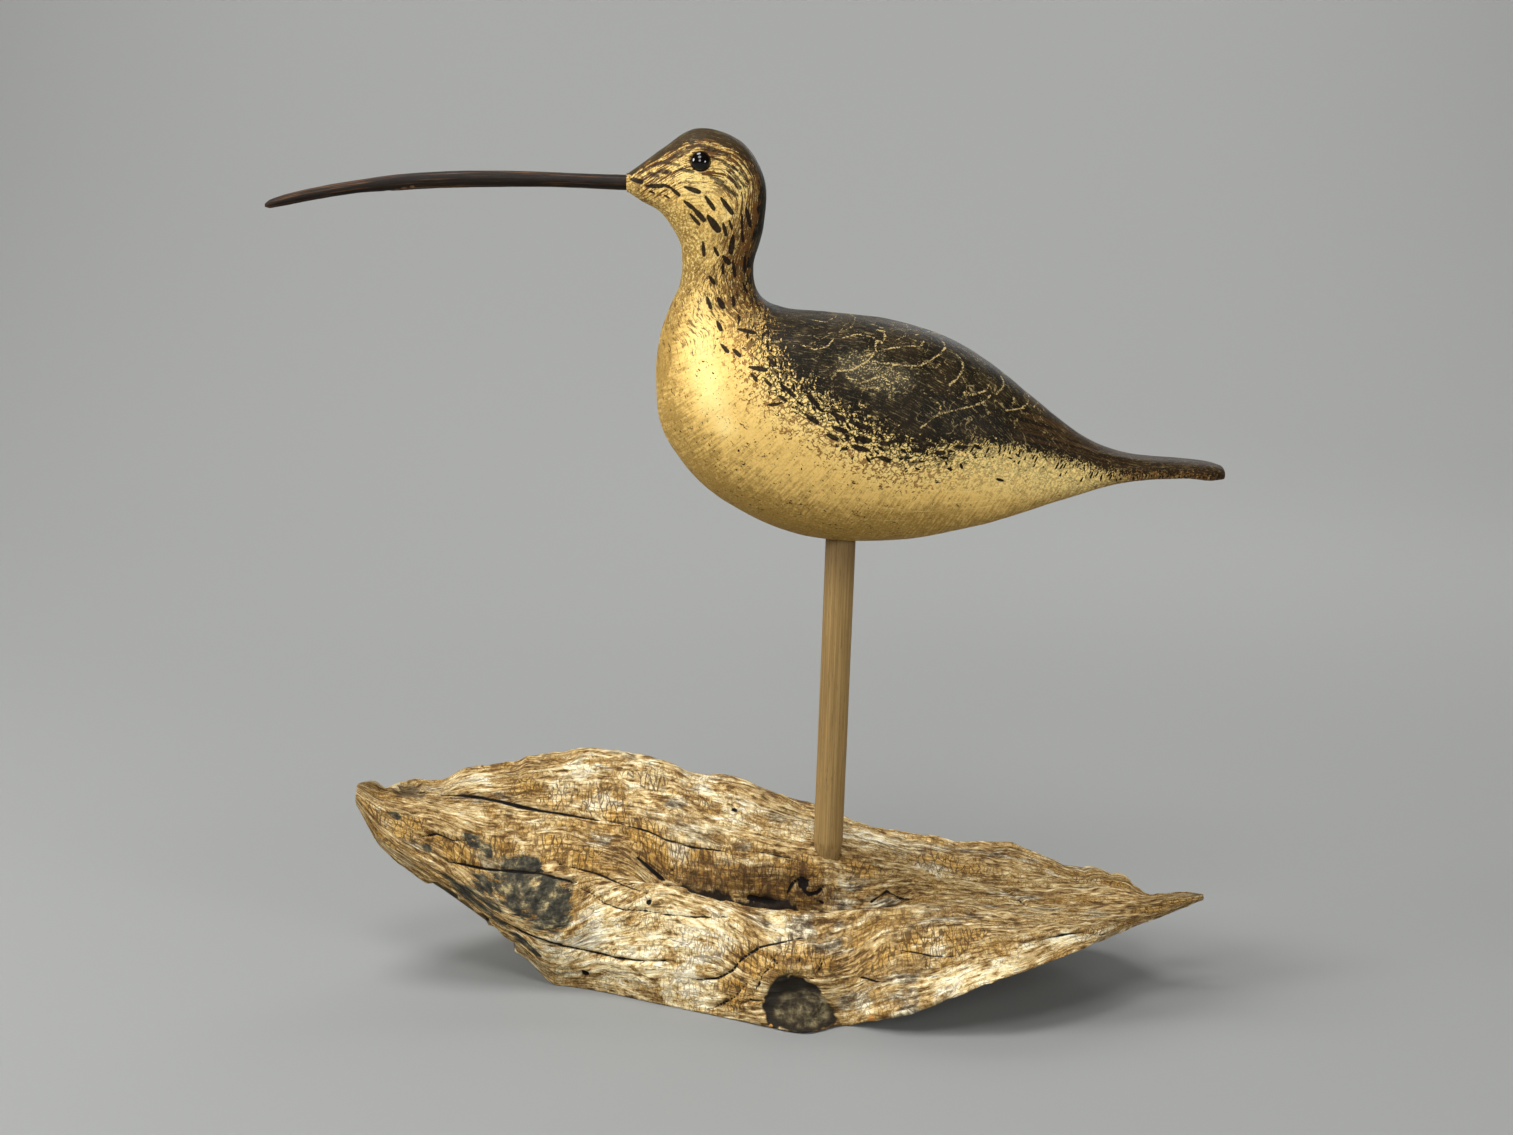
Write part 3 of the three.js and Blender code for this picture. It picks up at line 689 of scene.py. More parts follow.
def fade(value, start, end, low=0.0, high=1.0):
    """Goes smoothly from low, where the value is start, to high, where it is end."""
    limits = {"Value": value, "From Min": start, "From Max": end, "To Min": low, "To Max": high}
    return put("MapRange", limits, interpolation_type="SMOOTHSTEP")


def tint(share, below, above):
    """Lays the colour above over the colour below, where the share is 1."""
    return put("Mix", {0: share, 6: below, 7: above}, output=2, data_type="RGBA")


def scaled(vector, sizes):
    """A place or colour times three sizes."""
    return put("VectorMath", {0: vector, 1: sizes}, operation="MULTIPLY")


def moved(vector, by, operation="ADD"):
    """A place with another added to it, or subtracted, or divided by it."""
    return put("VectorMath", {0: vector, 1: by}, operation=operation)


def noise(vector, scale=1.0, detail=2.0, roughness=0.5, distortion=0.0, output="Fac"):
    """Noise. A scale of three numbers stretches it along x, y and z."""
    if isinstance(scale, tuple):
        vector, scale = scaled(vector, scale), 1.0
    inputs = {"Vector": vector, "Scale": scale, "Detail": detail}
    return put("TexNoise", {**inputs, "Roughness": roughness, "Distortion": distortion}, output)


def bump(height, strength, distance):
    """The normal of a surface that rises by the distance, in metres, where the height goes up by 1."""
    return put("Bump", {"Strength": strength, "Distance": distance, "Height": height})


def value_on(name):
    """The numbers that the mesh carries under this name."""
    return put("Attribute", output="Fac", attribute_name=name)


def place_on(name):
    """The places that the mesh carries under this name."""
    return value_on(name).beside("Vector")


def cell_edges(vector, scale, randomness=1.0):
    """Distance to the nearest border between the cells of a random net."""
    if isinstance(scale, tuple):
        vector, scale = scaled(vector, scale), 1.0
    inputs = {"Vector": vector, "Scale": scale, "Randomness": randomness}
    return put("TexVoronoi", inputs, "Distance", feature="DISTANCE_TO_EDGE")


def color_steps(value, steps):
    """Colours placed along a value, blended between."""
    ramp = put("ValToRGB", {"Fac": value})
    stops = ramp.socket.node.color_ramp.elements
    while len(stops) < len(steps):
        stops.new(0.5)
    for stop, (at, color) in zip(stops, steps):
        stop.position = at
        stop.color = paint(*color)
    return ramp


# Long streaks and short pores that run along the wood, shared by every bare wood here
GRAIN_SIZES = {"Streak length": 40.0, "Streak width": 1.2, "Pore length": 5.0, "Pore width": 0.5}
grain_group = bpy.data.node_groups.new("wood_grain", "ShaderNodeTree")
sockets = grain_group.interface
sockets.new_socket("Along and across", in_out="INPUT", socket_type="NodeSocketVector")
for socket_name, usual_size in GRAIN_SIZES.items():
    socket = sockets.new_socket(socket_name, in_out="INPUT", socket_type="NodeSocketFloat")
    socket.default_value = usual_size
for socket_name in ("Streaks", "Pores"):
    sockets.new_socket(socket_name, in_out="OUTPUT", socket_type="NodeSocketFloat")
tree = grain_group
group_in = Value(tree.nodes.new("NodeGroupInput").outputs[0])
group_out = tree.nodes.new("NodeGroupOutput")


def stretched(long, wide):
    """Places along and across the wood, divided by two sizes that the group is given."""
    wide = group_in.beside(wide)
    sizes = put("CombineXYZ", {"X": group_in.beside(long), "Y": wide, "Z": wide})
    return moved(group_in, sizes, "DIVIDE")


streaks = noise(stretched("Streak length", "Streak width"), 1.0, 5, 0.62, 0.4)
pores = noise(stretched("Pore length", "Pore width"))
feed(group_out, {"Streaks": fade(streaks, 0.3, 0.7), "Pores": fade(pores, 0.6, 0.72)})


def wood_grain(vector, *sizes):
    """Streaks and pores, by the length and width of a streak and of a pore in mm."""
    streaks = put("Group", dict(enumerate((vector, *sizes))), node_tree=grain_group)
    return streaks, streaks.beside("Pores")


wood_material = new_material("weathered_driftwood")
lay = place_on("grain")
drift = moved(noise(lay, (0.022, 0.045, 1), 3, output="Color"), (0.5, 0.5, 0.5), "SUBTRACT")
flow = moved(lay, scaled(drift, (0, 7, 0)))
streaks, pores = wood_grain(flow, 30, 1.1, 4, 0.6)
tufts = noise(flow, (0.13, 0.42, 1), 6, 0.68)
strands = noise(flow, (0.03, 0.85, 1), 5, 0.66)
chips = noise(flow, (0.2, 0.5, 1), 7, 0.75, 0.3)
wash = noise(flow, (0.03, 0.1, 1), 5, 0.65)
broad = noise(lay, (0.018, 0.055, 1), 4, 0.6)
spots = noise(lay, (0.09, 0.16, 1), 5, 0.65)

tuft_swing = tufts - 0.5
spot_swing = spots - 0.5
fibre = 2.3 * tuft_swing + 1.5 * (strands - 0.5) + 1.5 * (chips - 0.5)
fibre = fibre + 0.12 * (streaks - 0.5) + 0.06 * value_on("relief")
rough_edge = 2.4 * spot_swing + 2.2 * tuft_swing
brown_share = fade(value_on("brown") + rough_edge, 0.2, 0.95, 0, 0.94)
brown_share = calc("MAXIMUM", brown_share, fade(wash, 0.5, 0.6, 0, 0.6))
grey_share = fade(value_on("grey") + rough_edge, 0.35, 0.95)
grey_share = calc("MAXIMUM", grey_share, fade(broad, 0.55, 0.65, 0, 0.7))
# bleached wood, and painted light: the lower front faces are painted lighter, as if brightly lit
bleached_and_lit_share = fade(value_on("bleached_and_lit") + rough_edge, 0.1, 1.0)
brown_share = brown_share * fade(bleached_and_lit_share, 0.2, 1.0, 1.0, 0.3)
smoother = fade(bleached_and_lit_share, 0.2, 1.0, 1.0, 0.62)
cream_shade = 0.36 + fibre * smoother + 1.4 * (broad - 0.5) + 0.38 * bleached_and_lit_share
# deep darkens the brown wood, partly as painted shade on the wall of the hollow behind the lip
ochre_shade = 0.56 + 0.6 * fibre + 0.8 * spot_swing - 0.4 * value_on("deep") + 0.1 * bleached_and_lit_share
grey_shade = 0.48 + 1.2 * fibre + 0.14 * bleached_and_lit_share
color = color_steps(cream_shade, CREAM_WOOD)
color = tint(fade(chips, 0.53, 0.555, 0, 0.6), color, CHIP_TAN)
color = tint(grey_share, color, color_steps(grey_shade, GREY_WOOD))
color = tint(brown_share, color, color_steps(ochre_shade, OCHRE_WOOD))

# short cracks across the grain in the brown wood, hair cracks along it, and a fine net of cracks
bent = moved(lay, scaled(noise(lay, 0.3, output="Color"), (3.0, 4.0, 0)))
check_where = fade(value_on("brown") + 2.0 * spot_swing, 0.15, 0.6)
check_lines = fade(cell_edges(bent, (0.4, 0.12, 1), 0.9), 0.075, 0.035) * check_where
hair = noise(flow, (0.02, 0.26, 1), 3, 0.55)
hair_lines = fade(calc("ABSOLUTE", hair - 0.5), 0.013, 0.003) * fade(spots, 0.42, 0.54)
net_lines = fade(cell_edges(bent, (0.42, 0.3, 1)), 0.1, 0.04) * fade(wash, 0.44, 0.54)
thin_cracks = calc("MAXIMUM", 0.8 * check_lines, 0.75 * hair_lines)
thin_cracks = calc("MAXIMUM", thin_cracks, 0.5 * net_lines)
color = tint(thin_cracks, color, DARK_WOOD)
color = tint(0.35 * pores, color, DARK_WOOD)

# blackened patches, the stub's end, painted shade in the pocket and the trough, fresh chips, and painted
# shade in the long cracks and holes
char_noise = noise(flow, (0.14, 0.2, 1), 7, 0.66)
char_share = fade(value_on("char") + rough_edge + 2.0 * tuft_swing, 0.25, 0.6)
char_share = char_share * fade(value_on("char"), 0.05, 0.6)
color = tint(char_share, color, color_steps(fade(char_noise, 0.3, 0.72), CHAR_SHADES))
stub_tone = fade(char_noise, 0.34, 0.66, 0.05, 1) * fade(value_on("stub_face"), 1.1, 0.85, 0.1, 1)
color = tint(fade(value_on("stub"), 1.04, 0.94), color, color_steps(stub_tone, STUB_SHADES))
# painted shade inside the pocket
color = tint(0.75 * value_on("pocket"), color, POCKET_SHADE_BROWN)
# painted shade, nearly black, in the trough behind the lip
color = tint(fade(value_on("trough"), 0.2, 0.7, 0, 0.96), color, TROUGH_SHADE_BLACK)
color = tint(fade(value_on("fresh") + 2.0 * tuft_swing, 0.45, 0.55), color, FRESH_WOOD)
# painted shade in the long cracks and holes
color = tint(fade(value_on("crack"), 0.3, -0.1), color, CRACK_SHADE_BLACK)
surface = {"Base Color": color, "Roughness": fade(streaks, 0, 1, 0.95, 0.8), "Specular IOR Level": 0.25}
feed(shader, {**surface, "Normal": bump(fibre - 0.3 * pores - 0.8 * thin_cracks, 1.0, 0.0008)})
driftwood.data.materials.append(wood_material)

# Dowel: a straight round rod of plain brown wood, whittled to a blunt point at the foot and pressed
# into a hole in the driftwood. Its top goes up into the belly. It leans a little towards the tail.
DOWEL_DIAMETER = 0.0159
DOWEL_LEAN = math.radians(1.9)
DOWEL_FOOT_DIAMETER = 0.0116
DOWEL_FOOT_HEIGHT = 0.024
DOWEL_TAPER_START = 0.062
DOWEL_TAPER = 0.015
BELLY_HEIGHT = 0.243
DOWEL_IN_BODY = 0.028
DOWEL_SIDES = 96
DOWEL_FACETS = 9
FINE_HEIGHT = 0.09  # the rings stand closer below this height
DOWEL_BROWN = paint(118, 92, 50)
DOWEL_PALE = paint(150, 122, 74)
DOWEL_DARK = paint(72, 54, 30)


def leaning(points):
    """Turns points about the origin by the dowel's lean."""
    x, y, z = points[..., 0], points[..., 1], points[..., 2]
    c, s = math.cos(DOWEL_LEAN), math.sin(DOWEL_LEAN)
    return np.stack([c * x + s * z, y, c * z - s * x], axis=-1)


def place_in_mm():
    """Places in the frame, in millimetres."""
    return scaled(put("TexCoord", output="Object"), (1000, 1000, 1000))


dowel_top = BELLY_HEIGHT + DOWEL_IN_BODY
taper_end = DOWEL_TAPER_START + DOWEL_TAPER
fine_z = np.linspace(DOWEL_FOOT_HEIGHT, FINE_HEIGHT, 90)
dowel_z = np.concatenate([fine_z, np.linspace(FINE_HEIGHT + 0.001, dowel_top, 240)])
knot_heights = [DOWEL_FOOT_HEIGHT, DOWEL_TAPER_START, taper_end, dowel_top]
knot_diameters = [DOWEL_FOOT_DIAMETER, DOWEL_FOOT_DIAMETER, DOWEL_DIAMETER, DOWEL_DIAMETER]
dowel_radius = np.interp(dowel_z, knot_heights, np.array(knot_diameters) / 2)
turn = np.linspace(0, 2 * np.pi, DOWEL_SIDES, endpoint=False)
dz, turns = np.meshgrid(dowel_z, turn, indexing="ij")
whittled = np.clip((taper_end - dz) / 0.006, 0, 1)
facet = np.cos(((turns * DOWEL_FACETS / (2 * np.pi)) % 1 - 0.5) * 2 * np.pi / DOWEL_FACETS)
facet = facet / facet.max()
grooves = flat_noise(turns * 9, dz * 30, 21) * 0.00006 + flat_noise(turns * 3, dz * 12, 22) * 0.00008
r = dowel_radius[:, None] * (1 - whittled * (1 - facet) * 1.2) + grooves - 0.00008
dowel_points = np.stack([r * np.cos(turns), r * np.sin(turns), dz], axis=-1)[::-1]
dowel = loft_object("dowel_rod", leaning(dowel_points))
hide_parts("dowel")

dowel_material = new_material("brown_dowel")
parts = put("SeparateXYZ", {0: place_in_mm()})
along = parts.beside("Z")
lay = {"X": along, "Y": parts - math.tan(DOWEL_LEAN) * along, "Z": parts.beside("Y")}
streaks, pores = wood_grain(put("CombineXYZ", lay), 70, 0.9, 7, 0.35)
color = tint(streaks, DOWEL_BROWN, DOWEL_PALE)
color = tint(0.6 * pores, color, DOWEL_DARK)
# shaded under the belly and at the whittled foot
shade = calc("MAXIMUM", fade(along, 205, 243, 0, 0.45), fade(along, 80, 64, 0, 0.35))
color = tint(shade, color, DOWEL_DARK)
surface = {"Base Color": color, "Roughness": fade(streaks, 0, 1, 0.7, 0.58), "IOR": 1.35}
feed(shader, {**surface, "Normal": bump(streaks - pores, 0.5, 0.0002)})
dowel.data.materials.append(dowel_material)

# Bird: body, neck and head are one carved and sanded block. It is painted cream with brown rubbed
# into it, near black over crown, nape, back and tail, stippled along the border between the two,
# with short brown dashes on neck and flank and worn feather edges on the back.
# Over the paint lie a painted highlight on breast and head, painted shade towards the underside, and a
# painted sheen on the back.
BODY_LENGTH = 0.296
BODY_WIDTH = 0.097
BODY_FULLNESS = 2.15  # 2 is an ellipse in cross section, more is squarer
# Stations from the face to the tail: the back line's x and z and the belly line's x and z in
# hundredths of the length, from the dowel's hole, and the width in hundredths of the body's width.
BIRD_STATIONS = [
    [-37.3, 64.2, -37.3, 61.3, 10],  # face
    [-35.0, 65.8, -34.9, 59.7, 19],
    [-31.0, 68.7, -31.3, 57.5, 32],
    [-25.0, 72.0, -28.4, 52.9, 41],  # crown
    [-17.5, 69.7, -27.9, 49.1, 42],
    [-13.5, 63.1, -28.1, 46.7, 40],
    [-13.7, 55.3, -28.5, 44.8, 37],
    [-15.5, 48.4, -29.9, 41.8, 36],  # neck
    [-14.4, 43.5, -31.7, 36.8, 45],
    [-10.0, 41.2, -32.6, 28.9, 68],  # breast
    [-2.2, 40.4, -31.1, 19.1, 90],
    [7.4, 39.3, -22.8, 8.9, 100],
    [17.1, 36.6, -8.1, 1.5, 97],  # belly
    [25.9, 31.7, 7.9, 0.2, 83],
    [34.9, 24.5, 23.9, 2.8, 59],
    [42.9, 18.6, 38.0, 7.1, 40],  # rump
    [50.1, 15.7, 49.4, 10.4, 30],
    [59.8, 14.6, 60.0, 11.3, 28],  # tail
    [64.8, 14.1, 64.8, 10.8, 26],
    [67.2, 13.3, 67.2, 11.1, 21],
]
BODY_RINGS = 430
BODY_SIDES = 228
# Brush strokes read off the photograph, in its pixels: start, end, and the widest half width in mm
CHEEK_STROKES = [
    (631, 179, 642, 182, 0.9), (646, 186, 662, 186, 0.8), (662, 184, 671, 188, 0.5),
    (671, 188, 679, 195, 0.7), (684, 201, 693, 208, 0.8), (693, 208, 704, 220, 1.0),
    (649, 191, 654, 193, 0.4), (664, 195, 669, 198, 0.4), (685, 187, 699, 192, 0.9),
    (705, 196, 714, 209, 0.8), (690, 214, 699, 224, 0.7), (708, 216, 718, 230, 1.4),
]
NECK_STROKES = [
    (723, 223, 726, 235, 0.7), (729, 220, 732, 229, 0.5), (721, 198, 732, 213, 0.9),
    (746, 208, 750, 225, 0.9), (742, 214, 742, 228, 0.5), (742, 230, 743, 241, 0.6),
    (756, 225, 755, 239, 0.8), (733, 236, 731, 252, 1.1), (703, 242, 704, 255, 0.7),
    (714, 247, 718, 255, 0.6), (723, 256, 729, 263, 1.0), (745, 256, 745, 271, 0.8),
    (723, 264, 723, 273, 0.6), (733, 261, 735, 276, 0.7), (709, 276, 714, 283, 0.7),
    (707, 297, 711, 308, 0.7), (718, 298, 723, 307, 1.1), (743, 283, 747, 292, 0.7),
    (733, 296, 734, 305, 0.7), (717, 321, 721, 330, 0.8),
]
FLANK_STROKES = [
    (721, 344, 728, 352, 0.7), (733, 349, 740, 356, 0.8), (738, 329, 754, 333, 0.9),
    (749, 367, 766, 370, 0.9), (751, 373, 757, 381, 0.7), (764, 378, 771, 386, 0.7),
    (781, 384, 795, 397, 0.8), (777, 393, 786, 402, 0.7), (767, 405, 779, 404, 0.6),
    (805, 391, 817, 405, 1.0), (804, 414, 818, 423, 0.9), (793, 412, 798, 416, 0.6),
    (830, 412, 844, 420, 1.0), (831, 427, 844, 431, 0.9), (825, 433, 837, 439, 1.0),
    (853, 423, 867, 428, 1.0), (846, 431, 848, 441, 0.9), (856, 438, 870, 441, 1.1),
    (850, 446, 867, 450, 1.0), (870, 451, 873, 459, 0.6), (879, 443, 890, 444, 0.9),
    (878, 457, 890, 461, 0.9), (898, 458, 911, 458, 0.6), (891, 441, 905, 441, 0.7),
    (911, 450, 924, 451, 0.9), (916, 444, 934, 445, 0.7), (934, 453, 944, 453, 0.9),
    (841, 449, 846, 449, 0.7), (905, 466, 907, 473, 0.5), (950, 466, 951, 472, 0.5),
    (851, 481, 855, 483, 0.6), (935, 480, 938, 483, 0.5), (955, 447, 967, 447, 0.7),
    (880, 486, 882, 489, 0.5), (972, 452, 976, 458, 0.5), (768, 357, 776, 366, 0.7),
]
# Thin faded streaks over the side of the head
HEAD_STREAKS = [
    (686, 147, 714, 148, 0.6), (673, 155, 689, 151, 0.8), (658, 172, 670, 172, 0.9),
    (648, 173, 658, 176, 0.8), (661, 162, 679, 165, 0.6), (679, 169, 693, 172, 0.6),
    (711, 157, 726, 162, 0.5), (715, 150, 731, 156, 0.5), (723, 163, 737, 170, 0.6),
    (726, 169, 746, 187, 0.5), (734, 153, 748, 160, 0.8), (709, 176, 723, 182, 0.7),
    (714, 182, 729, 188, 0.6), (723, 188, 737, 195, 0.7), (702, 148, 715, 151, 0.6),
    (668, 159, 682, 156, 0.5), (720, 144, 731, 147, 0.7), (638, 173, 646, 170, 0.6),
    (731, 144, 742, 154, 0.6), (740, 170, 748, 182, 0.5), (729, 176, 740, 188, 0.8),
    (652, 166, 662, 162, 0.6), (668, 150, 682, 145, 0.5), (745, 160, 753, 174, 0.6),
]
# Feather edges worn through the dark paint of the back: a line of pixels, and its half width in mm
FEATHER_EDGES = [
    (0.5, [(949, 385), (957, 379), (963, 370), (962, 360), (955, 353)]),
    (0.5, [(996, 394), (1002, 389), (1004, 382), (1001, 376)]),
    (0.45, [(1011, 407), (1014, 402), (1014, 397)]),
    (0.45, [(1021, 408), (1027, 404), (1029, 396), (1025, 390)]),
    (0.4, [(1034, 407), (1038, 403), (1038, 398)]),
    (0.45, [(836, 371), (852, 370), (866, 362), (876, 352), (876, 342)]),
    (0.45, [(843, 338), (858, 334), (872, 337), (882, 343), (885, 338), (884, 331), (876, 330)]),
    (0.4, [(918, 366), (930, 361), (940, 354), (946, 347), (942, 341)]),
    (0.35, [(884, 363), (900, 365), (915, 366)]),
    (0.35, [(919, 429), (930, 421), (940, 412), (941, 404)]),
    (0.35, [(941, 414), (955, 410), (970, 407), (984, 402), (990, 396)]),
    (0.35, [(850, 312), (856, 318), (852, 327), (842, 331)]),
    (0.35, [(900, 318), (908, 326), (905, 336), (893, 342)]),
    (0.3, [(915, 335), (928, 332), (934, 326), (930, 319)]),
    (0.3, [(978, 370), (984, 378), (988, 386)]),
    (0.3, [(855, 384), (870, 380), (885, 374), (893, 366)]),
    (0.35, [(925, 393), (933, 400), (940, 405), (940, 415)]),
    (0.3, [(860, 357), (876, 352), (892, 348), (908, 346), (921, 346), (924, 341)]),
    (0.35, [(1001, 410), (1009, 410), (1018, 409), (1025, 408)]),
    (0.3, [(964, 395), (972, 395), (981, 393)]),
    (0.4, [(964, 392), (975, 394), (985, 391), (990, 384)]),
    (0.35, [(802, 345), (815, 350), (828, 346), (834, 338)]),
    (0.3, [(812, 320), (826, 322), (836, 317), (838, 311)]),
]
# Long shallow tool marks over the lower flank
TOOL_LINES = [
    (0, [(826, 476), (850, 486), (880, 494), (915, 500), (950, 503), (985, 501), (1010, 496)]),
    (0, [(848, 500), (880, 507), (915, 511), (955, 511), (1000, 505)]),
    (0, [(800, 500), (830, 512), (865, 519), (905, 521)]),
    (0, [(905, 486), (935, 491), (965, 492), (1000, 487)]),
]
# Areas as x, y and radius where the cream is rubbed pale, partly a painted highlight on breast and head,
# and where it has gone brown, partly painted shade low on the belly
PALE_AND_HIGHLIGHT_AREAS = [
    (704, 300, 9), (702, 325, 13), (701, 350, 14), (706, 378, 15), (713, 405, 14), (726, 428, 10),
    (700, 186, 14), (680, 171, 10), (655, 181, 8), (730, 214, 7), (735, 180, 10), (742, 168, 8),
    (728, 172, 7), (745, 190, 7),
]
BROWN_AND_SHADE_AREAS = [
    (660, 375, 10), (664, 350, 12), (672, 320, 12), (690, 265, 14), (692, 240, 14), (672, 415, 10),
    (700, 478, 18), (735, 502, 20), (780, 520, 22), (830, 528, 22), (690, 215, 12), (750, 335, 14),
    (765, 350, 14), (690, 285, 10), (735, 240, 12), (880, 525, 20), (930, 518, 18),
]
# Areas as x, y and radius of a painted sheen on the middle of the back
SHEEN_AREAS = [(868, 368, 13), (888, 382, 12), (850, 366, 10), (905, 376, 9)]
# The border of the dark paint: station, and the height on the section from -1 belly to 1 back
DARK_BORDER = [
    [0, 0.5], [0.6, 0.62], [1.2, 0.74], [1.9, 0.76], [2.65, 0.76], [3.4, 0.8], [4, 0.88], [4.7, 0.9],
    [5.2, 0.8], [6, 0.78], [6.75, 0.84], [7.3, 0.91], [8.3, 0.92], [9, 0.74], [9.85, 0.48],
    [10.4, 0.34], [11, 0.27], [11.5, 0.23], [12, 0.18], [12.5, 0.15], [13, 0.24], [13.5, 0.33],
    [14.1, 0.37], [14.9, 0.34], [15.5, 0.14], [16, -0.1], [16.5, -0.2], [17.2, -0.24], [19, -0.3],
]
RIPPLE_HEIGHT = 0.00022
FINE_RIPPLE_HEIGHT = 0.00009
FOLD_HEIGHT = 0.0006
GROOVE_DEPTH = 0.0005
EYE_STATION = 3.25
EYE_UP = 0.47


def station_at(rows, place):
    """A smooth curve through every station, at places counted in stations."""
    rows = np.asarray(rows, float)
    place = np.asarray(place, float)
    i = np.clip(np.floor(place).astype(int), 0, len(rows) - 2)
    f = (place - i)[..., None]
    first = np.concatenate([2 * rows[:1] - rows[1:2], rows, 2 * rows[-1:] - rows[-2:-1]])
    a, b, c, d = (first[i + k] for k in range(4))
    return 0.5 * (2 * b + (c - a) * f + (2 * a - 5 * b + 4 * c - d) * f**2 + (3 * b - a - 3 * c + d) * f**3)


def signed_power(values, power):
    """A power that keeps the sign."""
    return np.sign(values) * np.abs(values) ** power


belly = leaning(np.array([0, 0, BELLY_HEIGHT]))


def bird_section(place):
    """Centre, half of the chord from belly to back, and half width of a section."""
    row = station_at(BIRD_STATIONS, place)
    zero = 0 * row[..., 0]
    back = np.stack([row[..., 0], zero, row[..., 1]], axis=-1) * BODY_LENGTH / 100 + belly
    front = np.stack([row[..., 2], zero, row[..., 3]], axis=-1) * BODY_LENGTH / 100 + belly
    return (back + front) / 2, (back - front) / 2, row[..., 4] / 100 * BODY_WIDTH / 2


BILL_ROOT = 0.0079
FACE_RIM = 0.001  # wood left round the bill, with the clearance
fine_place = np.linspace(0, len(BIRD_STATIONS) - 1, 4000)
centres, ups, _ = bird_section(fine_place)
travel = length(np.diff(centres, axis=0)) + 0.35 * length(np.diff(ups, axis=0))
travel = running_sum(travel + 0.00002)
place = np.interp(np.linspace(0, travel[-1], BODY_RINGS), travel, fine_place)
centre, up, half = bird_section(place)
face_radius = BILL_ROOT / 2 + FACE_RIM
up[0] *= face_radius / length(up[0])
half[0] = face_radius
# the points of a ring stand closer from the back down to the flank, where the painting is
half_turn = np.linspace(0, 1, 200)
crowd = np.interp(half_turn * np.pi, [0, 2.0, 2.5, np.pi], [1.45, 1.45, 0.5, 0.5])
crowd = running_sum((crowd[1:] + crowd[:-1]) / 2)
steps_down = np.linspace(0, 1, BODY_SIDES // 2 + 1)
down_angle = np.interp(steps_down, crowd / crowd[-1], half_turn * np.pi)
angle = np.concatenate([-down_angle[:0:-1], down_angle[:-1]])
level = signed_power(np.cos(angle), 2 / BODY_FULLNESS)
aside = signed_power(np.sin(angle), 2 / BODY_FULLNESS)
body = centre[:, None] + up[:, None] * level[None, :, None]
body = body + (half[:, None] * aside[None, :])[..., None] * np.array([0, 1, 0])

# Over the surface: s is the distance along the bird and b from the middle of the back, in mm.
ring_steps = length(np.roll(body, -1, axis=1) - body) * 1000
top = BODY_SIDES // 2
b = np.zeros(body.shape[:2])
b[:, top + 1 :] = np.cumsum(ring_steps[:, top:-1], axis=1)
b[:, :top] = np.cumsum(ring_steps[:, :top][:, ::-1], axis=1)[:, ::-1]
s = np.broadcast_to(running_sum(length(np.diff(centre, axis=0)))[:, None] * 1000, b.shape)
border_level = smooth_through(DARK_BORDER, place)[:, 0]
border_angle = np.arccos(np.clip(signed_power(border_level, BODY_FULLNESS / 2), -1, 1))
right_angle, right_b = angle[top:], b[:, top:]
border_b = np.array([np.interp(border_angle[k], right_angle, right_b[k]) for k in range(BODY_RINGS)])
below_border = b - border_b[:, None]
side = np.sign(body[..., 1])
stations = np.broadcast_to(place[:, None], b.shape)

# shallow tool ripples, and a fold with a groove over it across the rump
ripple = RIPPLE_HEIGHT * lumps(body / 0.017, 31) + FINE_RIPPLE_HEIGHT * lumps(body / 0.006, 32)
fold = between(stations, 13.6, 16.2, 0.8) * hump(below_border + 9, 2.2)
groove = between(stations, 13.7, 16.2, 0.8) * hump(below_border + 3.5, 1.3)
body_normal = outward(body)
body_fade = between(stations, 0.4, 18.6, 0.5)
tooled = (ripple + FOLD_HEIGHT * fold - GROOVE_DEPTH * groove) * body_fade
body = body + body_normal * tooled[..., None]

eye_centre, eye_up, eye_half = bird_section(EYE_STATION)
EYE_DIAMETER = 0.010
EYE_THICKNESS = 0.0076
EYE_PROUD = 0.0029
EYE_TILT = math.radians(15)
SOCKET_ROUNDING = 0.0005
SOCKET_DEPTH = 0.003
eye_across = eye_half * (1 - EYE_UP**BODY_FULLNESS) ** (1 / BODY_FULLNESS)
eye_out = np.array([0, eye_across - EYE_THICKNESS / 2 + EYE_PROUD, 0])
eye_places = {turn: eye_centre + EYE_UP * eye_up + turn * eye_out for turn in (-1, 1)}
from_eye = np.full(body.shape[:2], 9.0)
for turn, eye_place in eye_places.items():
    from_eye = np.minimum(from_eye, length((body - eye_place)[..., [0, 2]]) + (side != turn))

bird_view = photo_view(body, body_normal)
OTHER_SIDE = np.array([1, -1, 1])


def on_bird(x, y):
    """The point of the bird that the photograph shows at a pixel."""
    at = seen_at(bird_view, x, y)
    tilt = math.radians(CAMERA_TILT)
    right, down = (np.array([x, y]) - np.array(PHOTO_SIZE) / 2) / PHOTO_FOCUS
    ray = np.array([right, math.cos(tilt) - down * math.sin(tilt), -math.sin(tilt) - down * math.cos(tilt)])
    eye_point = np.array(CAMERA_PLACE)
    reach = ((body[at] - eye_point) @ body_normal[at]) / (ray @ body_normal[at])
    point = eye_point + reach * ray
    return point if length(point - body[at]) < 0.004 else body[at]


def both_sides(strokes):
    """The strokes on the side that shows, and near enough the same ones on the other side."""
    rng = np.random.default_rng(7)
    for x0, y0, x1, y1, half_width in strokes:
        start, end = on_bird(x0, y0), on_bird(x1, y1)
        yield start, end, half_width
        shift = rng.normal(0, 0.0012, 3) * np.array([1, 0, 1])
        yield (start + shift) * OTHER_SIDE, (end + shift) * OTHER_SIDE, half_width * rng.uniform(0.85, 1.15)


